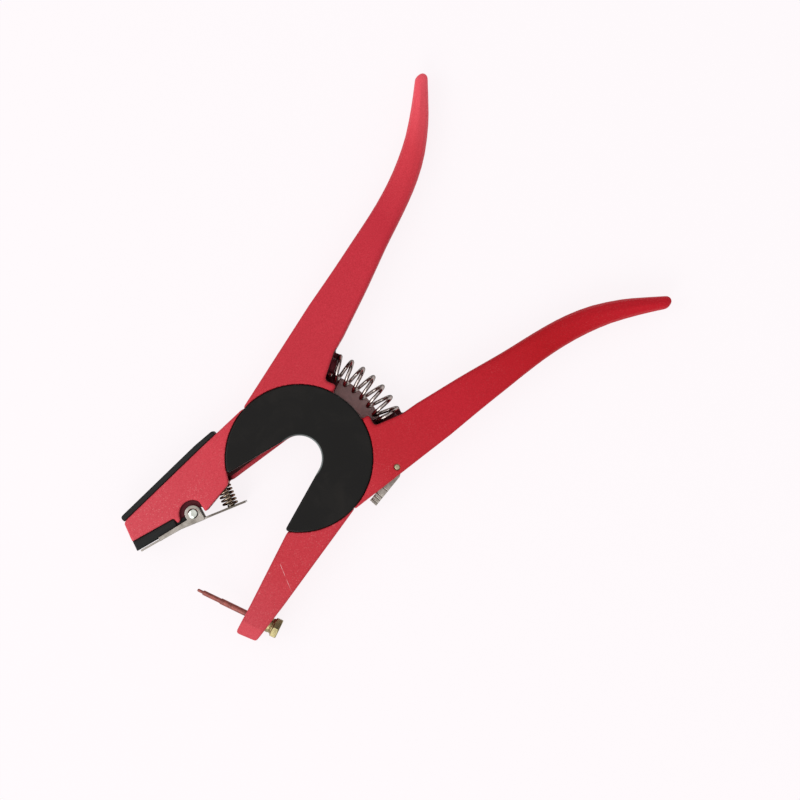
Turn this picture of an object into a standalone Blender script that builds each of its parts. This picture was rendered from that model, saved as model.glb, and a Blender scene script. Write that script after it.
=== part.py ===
# Ear tag applicator: crossing arms that turn about an open horseshoe hub.
# Working frame: origin on the hub axis, +X towards the handles, +Y towards the
# handle of the pin arm, +Z out of the front face. Every piece is then moved so
# that the model's origin lies on the rear cover, behind the throat.
import math

import bmesh
import bpy
from mathutils import Matrix, Vector

mm = 0.001
deg = math.pi / 180

# Driving dimensions
bodyDepth = 16 * mm            # both arms, rear face to front face
hubRadius = 30.7 * mm          # hub halves and covers
handleReach = 154.8 * mm       # hub axis to handle tip, along X
handleSpread = 72 * mm         # centre line to handle tip, along Y
throatRadius = 9.45 * mm       # open throat round the hub axis
throatUpperAngle = 162.4 * deg
throatLowerAngle = 193.2 * deg
rearThroatAngle = 169.1 * deg  # rear half's edge on the clip jaw's side
closeAngle = 30 * deg          # travel of the pin arm from open to closed
restOffset = 20 * mm           # hub axis to the model's origin
runGap = 0.3 * mm              # clearance between neighbouring pieces
castRound = 1.0 * mm           # rounding of the cast edges
overrun = 2 * mm               # how far a cutter runs past what it cuts
filletShare = 0.45             # longest share of a side that a round corner takes
mitreShare = -0.5              # keeps the inset of a very sharp corner short
cornerShare = 4                # straight run left beside a round tip, in tip radii
roundSteps = 2
circleSteps = 24
rimSteps = 72
tuckSteps = 10

# Layers of the hub, from the rear face up
coverThick = 1.5 * mm
coverProud = 0.3 * mm          # front cover stands above the arms
coverRound = 0.5 * mm
lipWall = 1.0 * mm             # front cover's wall inside the throat
washerThick = 1.2 * mm
halfLow = coverThick + runGap
halfThick = (bodyDepth - 2 * coverThick - washerThick - 4 * runGap) / 2
rearHalf = (halfLow, halfLow + halfThick)
washerLayer = (rearHalf[1] + runGap, rearHalf[1] + runGap + washerThick)
frontHalf = (washerLayer[1] + runGap, washerLayer[1] + runGap + halfThick)
tongueInset = 0.2 * mm         # the arm's tongue is this much thinner than its hub half
midDepth = bodyDepth / 2

# Arm roots on the hub rim
rootAngle = 90 * deg
rootSplit = 0.4 * deg          # half of the angle left between two arm roots
lipAngle = 15.5 * deg
lipThick = 3.6 * mm            # lip that hugs the rim beside the spring
lipRound = 1.2 * mm
tuckDepth = 5 * mm             # how far an arm's tongue reaches into its hub half
tongueBack = 8 * deg           # tongue ends this far from the jaw's inner edge
rootThick = 0.9 * mm           # arm root beyond the rim, at the rim's tangent

# Main spring, on an arc about the hub axis
springStandoff = 10.3 * mm     # hub's rim to the spring's centre line
springRadius = hubRadius + springStandoff
springOuter = 11.6 * mm
springWire = 1.4 * mm
springTurns = 7.25
springPointsPerTurn = 9
closedPitch = 1.95 * mm        # pitch of the end turns
seatAngle = 24.2 * deg
seatRound = 1.4 * mm
seatMouthRound = 1.2 * mm
seatSpare = 0.9 * mm           # room between the spring and the wall beside it
seatFloor = 1.9 * mm           # floor of the seat's notch, above the rear face
seatFloorReach = 2.8 * mm      # along the spring
spigotRadius = 3.4 * mm
spigotHeight = 2.6 * mm
spigotRound = 0.5 * mm

# Flange of the rear cover, behind the spring
flangeReach = 7.2 * mm         # beyond the hub's rim
flangeTurn = lipAngle - runGap / hubRadius
flangeSteps = 8

# Guide rivets
rivetCircle = (hubRadius + throatRadius) / 2
rivetAngles = (105 * deg, 15 * deg, -75 * deg)
rivetShank = 2.0 * mm
rivetHead = 3.4 * mm
rivetHeadThick = 1.3 * mm
slotEndRoom = 1.0 * deg

materials = {}


def paint(name, color, roughness, metallic):
    """Principled material with the piece's plain colour."""
    material = bpy.data.materials.new(name)
    material.use_nodes = True
    shader = material.node_tree.nodes["Principled BSDF"]
    shader.inputs["Base Color"].default_value = (*color, 1)
    shader.inputs["Roughness"].default_value = roughness
    shader.inputs["Metallic"].default_value = metallic
    materials[name] = material


def polar(radius, angle, center=(0, 0)):
    return Vector((center[0] + radius * math.cos(angle), center[1] + radius * math.sin(angle)))


def arc(center, radius, start, end, steps):
    return [polar(radius, start + (end - start) * i / steps, center) for i in range(steps + 1)]


def mirrored(points):
    """Outline reflected in the centre line, still running anticlockwise."""
    return [Vector((p[0], -p[1])) for p in reversed(points)]


def filleted(corners, steps=3):
    """Corner list (point, radius) turned into an outline with round corners."""
    outline = []
    for i, (point, radius) in enumerate(corners):
        here = Vector(point)
        if radius == 0:
            outline.append(here)
            continue
        before = Vector(corners[i - 1][0]) - here
        after = Vector(corners[(i + 1) % len(corners)][0]) - here
        half = before.angle(after) / 2
        reach = min(radius / math.tan(half), before.length * filletShare,
                    after.length * filletShare)
        axis = (before.normalized() + after.normalized()).normalized()
        center = here + axis * reach / math.cos(half)
        first = here + before.normalized() * reach - center
        last = here + after.normalized() * reach - center
        turn = math.atan2(first.x * last.y - first.y * last.x, first.dot(last))
        for k in range(steps + 1):
            spoke = Matrix.Rotation(turn * k / steps, 2) @ first
            outline.append(center + spoke)
    return outline


def smoothTable(rows, steps):
    """Catmull-Rom curve through the rows of a table."""
    result = []
    for i in range(len(rows) - 1):
        a = rows[max(i - 1, 0)]
        b, c = rows[i], rows[i + 1]
        d = rows[min(i + 2, len(rows) - 1)]
        for k in range(steps):
            t = k / steps
            result.append(tuple(
                b[n] + t * (c[n] - a[n]) / 2
                + t * t * (2 * a[n] - 5 * b[n] + 4 * c[n] - d[n]) / 2
                + t * t * t * (3 * (b[n] - c[n]) + d[n] - a[n]) / 2
                for n in range(len(b))))
    result.append(tuple(rows[-1]))
    return result


def each(value, count):
    return list(value) if isinstance(value, (list, tuple)) else [value] * count


def meshObject(name, bm, material=None, origin=(0, 0), cutter=False):
    """Object from a bmesh in the working frame, with its origin at a point of the plan."""
    bmesh.ops.recalc_face_normals(bm, faces=bm.faces)
    bmesh.ops.translate(bm, verts=bm.verts, vec=(-origin[0], -origin[1], 0))
    mesh = bpy.data.meshes.new(name)
    bm.to_mesh(mesh)
    bm.free()
    obj = bpy.data.objects.new(name, mesh)
    obj.location = (origin[0] - restOffset, origin[1], 0)
    bpy.context.collection.objects.link(obj)
    if cutter:
        obj.hide_render = True
        obj.display_type = "WIRE"
    else:
        mesh.materials.append(materials[material])
    return obj


def slabMesh(bm, outline, low, high, roundPlan=0, roundDepth=0, caps=None, steps=roundSteps,
             place=None):
    """Flat piece from an anticlockwise outline, with round edges at both faces."""
    count = len(outline)
    low, high = each(low, count), each(high, count)
    roundPlan, roundDepth = each(roundPlan, count), each(roundDepth, count)
    inward = []
    for i, point in enumerate(outline):
        first = (point - outline[i - 1]).normalized()
        second = (outline[(i + 1) % count] - point).normalized()
        a, b = Vector((-first.y, first.x)), Vector((-second.y, second.x))
        inward.append((a + b) / (1 + max(a.dot(b), mitreShare)))
    if not any(roundPlan):
        steps = 0
    levels = []
    for k in range(steps + 1):
        turn = math.pi / 2 * k / steps if steps else math.pi / 2
        levels.append((1 - math.sin(turn), 1 - math.cos(turn) if steps else 0))
    rings = []
    for face in (1, -1):
        for plan, depth in (levels if face == 1 else reversed(levels)):
            ring = []
            for i, point in enumerate(outline):
                spot = point + inward[i] * roundPlan[i] * plan
                base = low[i] if face == 1 else high[i]
                ring.append(bm.verts.new((spot.x, spot.y, base + face * roundDepth[i] * depth)))
            rings.append(ring)
    for lower, upper in zip(rings, rings[1:]):
        for i in range(count):
            j = (i + 1) % count
            bm.faces.new((lower[i], lower[j], upper[j], upper[i]))
    for cap in caps or [range(count)]:
        bm.faces.new([rings[-1][i] for i in cap])
        bm.faces.new([rings[0][i] for i in reversed(list(cap))])
    if place:
        fresh = [v for ring in rings for v in ring]
        bmesh.ops.transform(bm, matrix=place, verts=fresh)


def slab(name, outline, low, high, material=None, origin=(0, 0), cutter=False, **shape):
    bm = bmesh.new()
    slabMesh(bm, outline, low, high, **shape)
    return meshObject(name, bm, material, origin, cutter)


def turnedMesh(bm, profile, center=(0, 0), steps=circleSteps, place=None):
    """Solid of revolution about Z from (radius, height) pairs, bottom to top."""
    rings = []
    for radius, height in profile:
        if radius == 0:
            rings.append([bm.verts.new((center[0], center[1], height))])
        else:
            rings.append([bm.verts.new((*polar(radius, 2 * math.pi * i / steps, center), height))
                          for i in range(steps)])
    for lower, upper in zip(rings, rings[1:]):
        for i in range(steps):
            j = (i + 1) % steps
            if len(lower) == 1:
                bm.faces.new((lower[0], upper[j], upper[i]))
            elif len(upper) == 1:
                bm.faces.new((lower[i], lower[j], upper[0]))
            else:
                bm.faces.new((lower[i], lower[j], upper[j], upper[i]))
    for ring, flip in ((rings[0], True), (rings[-1], False)):
        if len(ring) > 1:
            bm.faces.new(list(reversed(ring)) if flip else ring)
    if place:
        bmesh.ops.transform(bm, matrix=place, verts=[v for ring in rings for v in ring])


def cylinder(radius, low, high):
    return [(radius, low), (radius, high)]


def boolean(target, tool, operation):
    modifier = target.modifiers.new(tool.name, "BOOLEAN")
    modifier.operation = operation
    modifier.solver = "EXACT"
    modifier.object = tool


def horseshoe(radius, side, throat=throatRadius, corner=castRound, flange=0):
    """Outline of a hub layer: a disc with its throat open towards -X."""
    tipTurn = math.asin(throat / radius)
    edge = throatLowerAngle if side > 0 else 2 * math.pi - rearThroatAngle
    upper = throatUpperAngle - tipTurn
    lower = edge + tipTurn - 2 * math.pi
    room = corner * cornerShare / radius
    rim = [polar(radius, lower)]
    if flange:
        rim += arc((0, 0), radius, lower + room, -flangeTurn, rimSteps // 2)
        rim += arc((0, 0), radius + flange, -flangeTurn, flangeTurn, flangeSteps)
        rim += arc((0, 0), radius, flangeTurn, upper - room, rimSteps // 2)
    else:
        rim += arc((0, 0), radius, lower + room, upper - room, rimSteps)
    rim += [polar(radius, upper)]
    inner = arc((0, 0), throat, throatUpperAngle - math.pi / 2,
                edge + math.pi / 2 - 2 * math.pi, circleSteps)
    corners = [(p, 0) for p in rim + inner]
    corners[0] = (rim[0], corner)
    corners[len(rim) - 1] = (rim[-1], corner)
    outline = filleted(corners)
    return outline if side > 0 else mirrored(outline)


def throatBand(radius, throat, wall):
    """Outline of the wall that lines the throat, following its edges to the rim."""
    def path(size, end):
        run = math.sqrt(end * end - size * size)
        upper = polar(size, throatUpperAngle - math.pi / 2)
        lower = polar(size, throatLowerAngle + math.pi / 2)
        points = [upper + polar(run, throatUpperAngle)]
        points += arc((0, 0), size, throatUpperAngle - math.pi / 2,
                      throatLowerAngle + math.pi / 2 - 2 * math.pi, circleSteps)
        return points + [lower + polar(run, throatLowerAngle)]
    return list(reversed(path(throat + wall, radius))) + path(throat, radius)


# Handle: places along X as shares of the way from its start to its tip, outer and
# inner edge across Y as shares of the way from the hub's rim to the handle's spread,
# depth as a share of the arm's, edge rounding as shares of half width and half depth
handleStartGap = 3.2 * mm      # spring to the start of the table
handleStart = springRadius + springOuter / 2 + handleStartGap
handleShares = (
    (0.000, 0.228, -0.240, 1.00, 0.10, 0.13),
    (0.095, 0.261, -0.170, 1.00, 0.13, 0.15),
    (0.191, 0.296, -0.100, 1.00, 0.18, 0.18),
    (0.285, 0.334, -0.025, 0.99, 0.26, 0.22),
    (0.381, 0.372, 0.053, 0.97, 0.36, 0.28),
    (0.476, 0.416, 0.121, 0.95, 0.46, 0.36),
    (0.572, 0.477, 0.193, 0.92, 0.56, 0.44),
    (0.666, 0.559, 0.280, 0.89, 0.64, 0.52),
    (0.762, 0.669, 0.404, 0.85, 0.70, 0.58),
    (0.857, 0.815, 0.576, 0.79, 0.74, 0.64),
    (0.919, 0.922, 0.718, 0.70, 0.66, 0.68),
    (0.959, 0.995, 0.815, 0.58, 0.44, 0.70),
)
handleTipShares = ((0.999, 0.913), (1.000, 0.951), (0.990, 0.986))
handleTipDepthShare = 0.46
handleSteps = 2


def handleWing(side):
    """Handle and its root up to the hub rim; the root's inner edge holds the spring seat."""
    def spot(x, y):
        return Vector((handleStart + x * (handleReach - handleStart),
                       hubRadius + y * (handleSpread - hubRadius)))
    rows = smoothTable(handleShares, handleSteps)
    inner = [spot(r[0], r[2]) for r in rows]
    outer = [spot(r[0], r[1]) for r in rows]
    tip = [spot(x, y) for x, y in handleTipShares]
    tuck = hubRadius - tuckDepth
    first = rootAngle - rootSplit
    lipRadius = hubRadius + lipThick
    wall = springRadius - springOuter / 2 - seatSpare
    mouth = springRadius + springOuter / 2
    root = [(outer[0], 0), (polar((hubRadius + rootThick) / math.cos(rootSplit), first), 0)]
    root += [(p, 0) for p in arc((0, 0), tuck, first, lipAngle, tuckSteps)]
    root += [(polar(lipRadius, lipAngle), lipRound), (polar(wall, seatAngle), seatRound),
             (polar(mouth, seatAngle), seatMouthRound), (inner[0], 0)]
    rootOutline = filleted(root)
    rootInner = rootOutline[1:-1]
    outline = inner + tip + list(reversed(outer)) + rootInner
    spare = len(rootInner)
    count = len(inner)
    plan, depth, inset = [], [], []
    for r, i, o in zip(rows, inner, outer):
        inset.append((1 - r[3]) * bodyDepth / 2)
        plan.append(r[4] * (o - i).length / 2)
        depth.append(r[5] * r[3] * bodyDepth / 2)
    tipInset = (1 - handleTipDepthShare) * bodyDepth / 2
    tipRound = handleShares[-1][5] * handleTipDepthShare * bodyDepth / 2
    planAll = plan + [castRound] * len(tip) + plan[::-1] + [castRound] * spare
    depthAll = depth + [tipRound] * len(tip) + depth[::-1] + [castRound] * spare
    insetAll = inset + [tipInset] * len(tip) + inset[::-1] + [0] * spare
    last = count + len(tip)
    caps = [list(range(count - 1, last + 1))]
    for k in range(count - 1):
        caps.append([k, k + 1, last + count - 2 - k, last + count - 1 - k])
    caps.append([last + count - 1] + list(range(last + count, last + count + spare)) + [0])
    low = list(insetAll)
    high = [bodyDepth - z for z in insetAll]
    if side < 0:
        outline = mirrored(outline)
        planAll, depthAll, low, high = (v[::-1] for v in (planAll, depthAll, low, high))
        top = len(outline) - 1
        caps = [[top - i for i in reversed(cap)] for cap in caps]
    return outline, low, high, planAll, depthAll, caps


def springSeatPlace(side):
    """Frame on a spring seat: Z along the spring, out of the handle."""
    angle = side * seatAngle
    spot = polar(springRadius, angle)
    along = polar(1, angle - side * math.pi / 2)
    zAxis = Vector((along.x, along.y, 0))
    xAxis = Vector((0, 0, 1))
    yAxis = zAxis.cross(xAxis)
    place = Matrix((xAxis, yAxis, zAxis)).transposed().to_4x4()
    place.translation = (spot.x, spot.y, midDepth)
    return place


def rimCutter(name, half):
    """Clears an arm's root round the other half and the covers."""
    clear = hubRadius + runGap
    bm = bmesh.new()
    turnedMesh(bm, cylinder(clear, -overrun, half[0] + tongueInset), steps=rimSteps)
    turnedMesh(bm, cylinder(clear, half[1] - tongueInset, bodyDepth + overrun), steps=rimSteps)
    return meshObject(name, bm, cutter=True)


def flangeRoom():
    """Rebate in the pin arm's rear face that the rear cover's flange turns in."""
    end = closeAngle + lipAngle + slotEndRoom
    outline = arc((0, 0), hubRadius + flangeReach + runGap, 0, end, circleSteps)
    outline += arc((0, 0), hubRadius - overrun, end, 0, circleSteps)
    return slab("flange_room", outline, -overrun, halfLow, cutter=True)


def addHandle(name, side, material):
    outline, low, high, plan, depth, caps = handleWing(side)
    return slab(name, outline, low, high, material, roundPlan=plan, roundDepth=depth, caps=caps)


def addSeatFloor(arm, side, inner):
    """Floor that closes the notch of a spring seat behind the coils."""
    outer = springRadius + springOuter / 2
    start = seatAngle - seatFloorReach / springRadius
    end = seatAngle + castRound / springRadius
    outline = arc((0, 0), outer, start, end, flangeSteps)
    outline += arc((0, 0), inner, end, start, flangeSteps)
    boolean(arm, slab(arm.name + "_seat_floor", outline if side > 0 else mirrored(outline),
                      0, seatFloor, cutter=True), "UNION")


def addSpigot(arm, side):
    bm = bmesh.new()
    profile = [(spigotRadius, -overrun), (spigotRadius, spigotHeight - spigotRound),
               (spigotRadius - spigotRound, spigotHeight)]
    turnedMesh(bm, profile, steps=circleSteps, place=springSeatPlace(side))
    boolean(arm, meshObject(arm.name + "_spigot", bm, cutter=True), "UNION")


# Pin, gland nut and the pin arm's jaw
pinJawCorner = Vector((-hubRadius, -hubRadius))
pinFootPlace = Vector((-32.7 * mm, 3.6 * mm))   # pin's axis at the jaw's inner edge
pinFoot = pinJawCorner + pinFootPlace
pinLean = 106.5 * deg
pinSteps = 16
pinRootRadius = 1.3 * mm
pinRootLength = 11.5 * mm
pinMidRadius = 1.05 * mm
pinMidLength = 8.2 * mm
pinTipRadius = 0.65 * mm
pinTipLength = 2.7 * mm
pinTipRound = 0.3 * mm
pinStepSlope = 0.25 * mm
pinShoulder = 3.6 * mm        # jaw left between its inner edge and the pin's flange
flangeRadius = 3.3 * mm
flangeThick = 1.5 * mm
nutBarrelRadius = 3.4 * mm
nutNeck = 1.9 * mm
nutFlats = 8.0 * mm
nutHeight = 2.9 * mm
nutChamfer = 0.5 * mm
nutSlotWidth = 1.2 * mm
nutSlotDepth = 1.2 * mm
pinJawRootThick = 0.7 * mm
heelPlace = Vector((-19.3 * mm, -6.1 * mm))
toeOuterPlace = Vector((-38.2 * mm, -7.7 * mm))
toeInnerPlace = Vector((-41.4 * mm, 1.1 * mm))
bendPlace = Vector((-28.8 * mm, 4.3 * mm))
pinJawHeel = pinJawCorner + heelPlace
pinJawToeOuter = pinJawCorner + toeOuterPlace
pinJawToeInner = pinJawCorner + toeInnerPlace
pinJawBend = pinJawCorner + bendPlace
pinJawRound = 1.2 * mm
pinJawBendRound = 12 * mm
chamferStart = 3.3 * mm       # pin axis to the start of the end chamfers
chamferRise = 4.8 * mm


def pinPlace(along=0):
    """Frame on the pin's axis: Z towards the pin's tip."""
    axis = polar(1, pinLean)
    zAxis = Vector((axis.x, axis.y, 0))
    xAxis = Vector((0, 0, 1))
    place = Matrix((xAxis, zAxis.cross(xAxis), zAxis)).transposed().to_4x4()
    spot = pinFoot + axis * along
    place.translation = (spot.x, spot.y, midDepth)
    return place


def jawThickness():
    """Pin arm jaw's thickness along the pin's axis."""
    axis = polar(1, pinLean)
    edge = pinJawToeOuter - pinJawHeel
    across = pinJawHeel - pinFoot
    return -(across.x * edge.y - across.y * edge.x) / (axis.x * edge.y - axis.y * edge.x)


def jawRim(edgeAngle, throat, turn):
    """Corner where a jaw's inner edge meets its throat edge, just outside the rim."""
    radius = hubRadius + runGap + castRound
    return radius, edgeAngle + turn * math.asin(throat / radius)


def pinJawOutline():
    tuck = hubRadius - tuckDepth
    first = -rootAngle - rootSplit
    radius, last = jawRim(throatLowerAngle - 2 * math.pi, throatRadius + lipWall + runGap, 1)
    corners = [(polar(radius, last), 0), (pinJawBend, pinJawBendRound),
               (pinJawToeInner, pinJawRound), (pinJawToeOuter, pinJawRound),
               (pinJawHeel, pinJawBendRound),
               (polar((hubRadius + pinJawRootThick) / math.cos(rootSplit), first), 0)]
    corners += [(p, 0) for p in arc((0, 0), tuck, first, last + tongueBack, tuckSteps)]
    return filleted(corners)


def pinJawCutters(arm):
    depth = jawThickness()
    bore, way = nutBarrelRadius + runGap, pinRootRadius + runGap
    bm = bmesh.new()
    turnedMesh(bm, [(bore, -depth - overrun), (bore, -pinShoulder), (way, -pinShoulder),
                    (way, overrun)], place=pinPlace())
    boolean(arm, meshObject("pin_way", bm, cutter=True), "DIFFERENCE")
    toe = pinJawToeInner - pinFoot
    axis = polar(1, pinLean)
    toeReach = abs(toe.x * axis.y - toe.y * axis.x)
    for face in (1, -1):
        level = face * bodyDepth / 2
        wedge = [Vector((chamferStart, level)), Vector((toeReach, level - face * chamferRise)),
                 Vector((toeReach + overrun, level - face * chamferRise)),
                 Vector((toeReach + overrun, level + face * overrun)),
                 Vector((chamferStart, level + face * overrun))]
        if face > 0:
            wedge.reverse()
        across = Vector((-axis.y, axis.x, 0))
        up = Vector((0, 0, 1))
        place = Matrix((across, up, across.cross(up))).transposed().to_4x4()
        place.translation = (pinFoot.x, pinFoot.y, midDepth)
        reach = depth + 2 * overrun
        bm = bmesh.new()
        slabMesh(bm, wedge, -reach, reach, place=place)
        boolean(arm, meshObject("toe_chamfer", bm, cutter=True), "DIFFERENCE")


def rivetHoles():
    """Stepped holes of the guide rivets in the front half."""
    step = frontHalf[1] - rivetHeadThick - runGap
    shank, head = rivetShank + runGap, rivetHead + runGap
    bm = bmesh.new()
    for angle in rivetAngles:
        turnedMesh(bm, [(shank, frontHalf[0] - overrun), (shank, step), (head, step),
                        (head, frontHalf[1] + runGap)], center=polar(rivetCircle, angle))
    return meshObject("rivet_holes", bm, cutter=True)


def arcSlot(bm, radius, angle, low, high):
    """Slot that follows a rivet from open to closed, as seen from the other arm."""
    start, end = angle - closeAngle - slotEndRoom, angle + slotEndRoom
    outer = arc((0, 0), rivetCircle + radius, start, end, circleSteps)
    cap = arc(polar(rivetCircle, end), radius, end, end + math.pi, circleSteps // 3)
    inner = arc((0, 0), rivetCircle - radius, end, start, circleSteps)
    foot = arc(polar(rivetCircle, start), radius, start + math.pi, start + 2 * math.pi,
               circleSteps // 3)
    slabMesh(bm, outer + cap[1:-1] + inner + foot[1:-1], low, high)


def arcSlots(name, radius, low, high):
    bm = bmesh.new()
    for angle in rivetAngles:
        arcSlot(bm, radius, angle, low, high)
    return meshObject(name, bm, cutter=True)


def addPinArm():
    arm = addHandle("pin_arm", 1, "red_powder_coat")
    jaw = slab("pin_jaw", pinJawOutline(), 0, bodyDepth, cutter=True,
               roundPlan=castRound, roundDepth=castRound)
    boolean(arm, jaw, "UNION")
    boolean(arm, rimCutter("pin_arm_rim", frontHalf), "DIFFERENCE")
    half = slab("front_half", horseshoe(hubRadius, 1, throatRadius + lipWall + runGap),
                *frontHalf, cutter=True)
    boolean(arm, half, "UNION")
    boolean(arm, flangeRoom(), "DIFFERENCE")
    addSeatFloor(arm, 1, hubRadius + flangeReach + 2 * runGap)
    addSpigot(arm, 1)
    pinJawCutters(arm)
    boolean(arm, rivetHoles(), "DIFFERENCE")
    return arm


# Clip arm's jaw with the anvil pad, the outer strip and the clip
clipJawCorner = Vector((-hubRadius, hubRadius))
backPlace = Vector((5.1 * mm, 2.6 * mm))
topPlace = Vector((-38.5 * mm, 5.3 * mm))
toePlace = Vector((-42.0 * mm, -2.7 * mm))
padHeelPlace = Vector((-23.2 * mm, -8.9 * mm))
padStepPlace = Vector((-23.5 * mm, -11.7 * mm))
pivotPlace = Vector((-16.3 * mm, -13.5 * mm))
leverRearPlace = Vector((2.1 * mm, -26.7 * mm))
clipJawBack = clipJawCorner + backPlace
clipJawTop = clipJawCorner + topPlace
clipJawToe = clipJawCorner + toePlace
clipJawBackRound = 30 * mm
clipJawTopRound = 1.5 * mm
padHeel = clipJawCorner + padHeelPlace
padStep = clipJawCorner + padStepPlace
recessRadius = 5.7 * mm
clipPivot = clipJawCorner + pivotPlace
recessStart = 160 * deg
recessEnd = -12 * deg
lugRadius = 2.6 * mm
lugEase = 6 * deg             # lug's sides turned in from the recess's ends
clipRivetRadius = 1.2 * mm
clipHeadRadius = 2.2 * mm
clipHeadThick = 0.6 * mm
clipSheet = 0.8 * mm
earInset = 1.0 * mm           # jaw face to the clip's ear
earProud = 0.05 * mm          # ears stand this much outside the lever's web
anvilRadius = 2.5 * mm
anvilDepth = 7.5 * mm
padThick = 4.0 * mm
padToeThick = 4.2 * mm
padHeelEase = 0.4 * mm
padRound = 0.5 * mm


def earLayers():
    """Ears of the clip: (low, high) of the rear one and of the front one."""
    return ((earInset, earInset + clipSheet),
            (bodyDepth - earInset - clipSheet, bodyDepth - earInset))


def clipJawRim():
    return jawRim(rearThroatAngle, throatRadius, -1)


def clipJawOutline():
    tuck = hubRadius - tuckDepth
    first = rootAngle + rootSplit
    radius, last = clipJawRim()
    corners = [(polar((hubRadius + pinJawRootThick) / math.cos(rootSplit), first), 0),
               (clipJawBack, clipJawBackRound), (clipJawTop, clipJawTopRound),
               (clipJawToe, 0), (padHeel, 0), (padStep, 0)]
    corners += [(p, 0) for p in arc(clipPivot, recessRadius, recessStart, recessEnd,
                                    circleSteps // 2)]
    corners += [(polar(radius, last), 0)]
    corners += [(p, 0) for p in arc((0, 0), tuck, last - tongueBack, first, tuckSteps)]
    return filleted(corners)


def anvilPlace():
    """Frame on the pin's way into the anvil: Z into the jaw, zero on the pad's seat."""
    middle = pinFoot + polar(pinRootLength + pinMidLength / 2, pinLean)
    run = (padHeel - clipJawToe).normalized()
    foot = clipJawToe - run * clipJawToe.dot(run)
    along = math.sqrt(middle.length_squared - foot.length_squared)
    spot = foot - run * along
    axis = spot.normalized()
    zAxis = Vector((axis.y, -axis.x, 0))
    xAxis = Vector((0, 0, 1))
    place = Matrix((xAxis, zAxis.cross(xAxis), zAxis)).transposed().to_4x4()
    place.translation = (spot.x, spot.y, midDepth)
    return place


# Clip lever, in line with the pad's face and bent towards the hub behind its ears
leverToeInset = 1.6 * mm      # pad's toe to the lever's front edge
leverKinkPast = 0.8 * mm      # kink past the pad's heel
leverRear = clipJawCorner + leverRearPlace
earRadius = 3.5 * mm
earFootRear = 10.9 * mm       # kink to their rear foot
wallStart = 9.0 * mm          # front edge to the start of the side walls before the ears
wallRise = 0.8 * mm           # side wall above the sheet at its start
forkWidth = 7.0 * mm
forkLength = 12.5 * mm
clipSpringOuter = 6.6 * mm
clipSpringWire = 0.8 * mm
clipSpringTurns = 7
clipSpringAlongShare = 0.82   # kink to rear edge, where the spring stands
springPocketDepth = 3.2 * mm
nubRadius = 1.6 * mm
nubHeight = 0.9 * mm


def lineNormal(start, end):
    run = (end - start).normalized()
    return Vector((-run.y, run.x))


def ribbon(points, thickness):
    """Outline of a sheet seen on edge; the points run along its right-hand face."""
    offsets = []
    for i, point in enumerate(points):
        sides = []
        if i > 0:
            sides.append(lineNormal(points[i - 1], point))
        if i < len(points) - 1:
            sides.append(lineNormal(point, points[i + 1]))
        normal = sum(sides, Vector((0, 0)))
        scale = 1 / normal.normalized().dot(sides[0])
        offsets.append(point + normal.normalized() * thickness * scale)
    return list(points) + list(reversed(offsets))


def leverPath():
    """Lower face of the lever on edge: front edge, kink and rear edge."""
    _, toe, heel, _ = padOutline()
    run = (heel - toe).normalized()
    down = Vector((run.y, -run.x)) * (runGap + clipSheet)
    return toe + run * leverToeInset + down, heel + run * leverKinkPast + down, leverRear


def clipSpringFrame():
    """Frame at the clip spring's foot on the lever: Z towards the jaw."""
    leverKink = leverPath()[1]
    spot = leverKink.lerp(leverRear, clipSpringAlongShare)
    normal = lineNormal(leverKink, leverRear)
    foot = spot + normal * clipSheet
    zAxis = Vector((normal.x, normal.y, 0))
    xAxis = Vector((0, 0, 1))
    place = Matrix((xAxis, zAxis.cross(xAxis), zAxis)).transposed().to_4x4()
    place.translation = (foot.x, foot.y, midDepth)
    return place


def innerEdgeAt(place):
    """Distance from the clip spring's foot to the jaw's inner edge along its axis."""
    start = polar(recessRadius, recessEnd, clipPivot)
    end = polar(*clipJawRim())
    spot = place.translation.to_2d()
    axis = place.col[2].to_2d()
    edge = end - start
    across = start - spot
    return (across.x * edge.y - across.y * edge.x) / (axis.x * edge.y - axis.y * edge.x)


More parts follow.
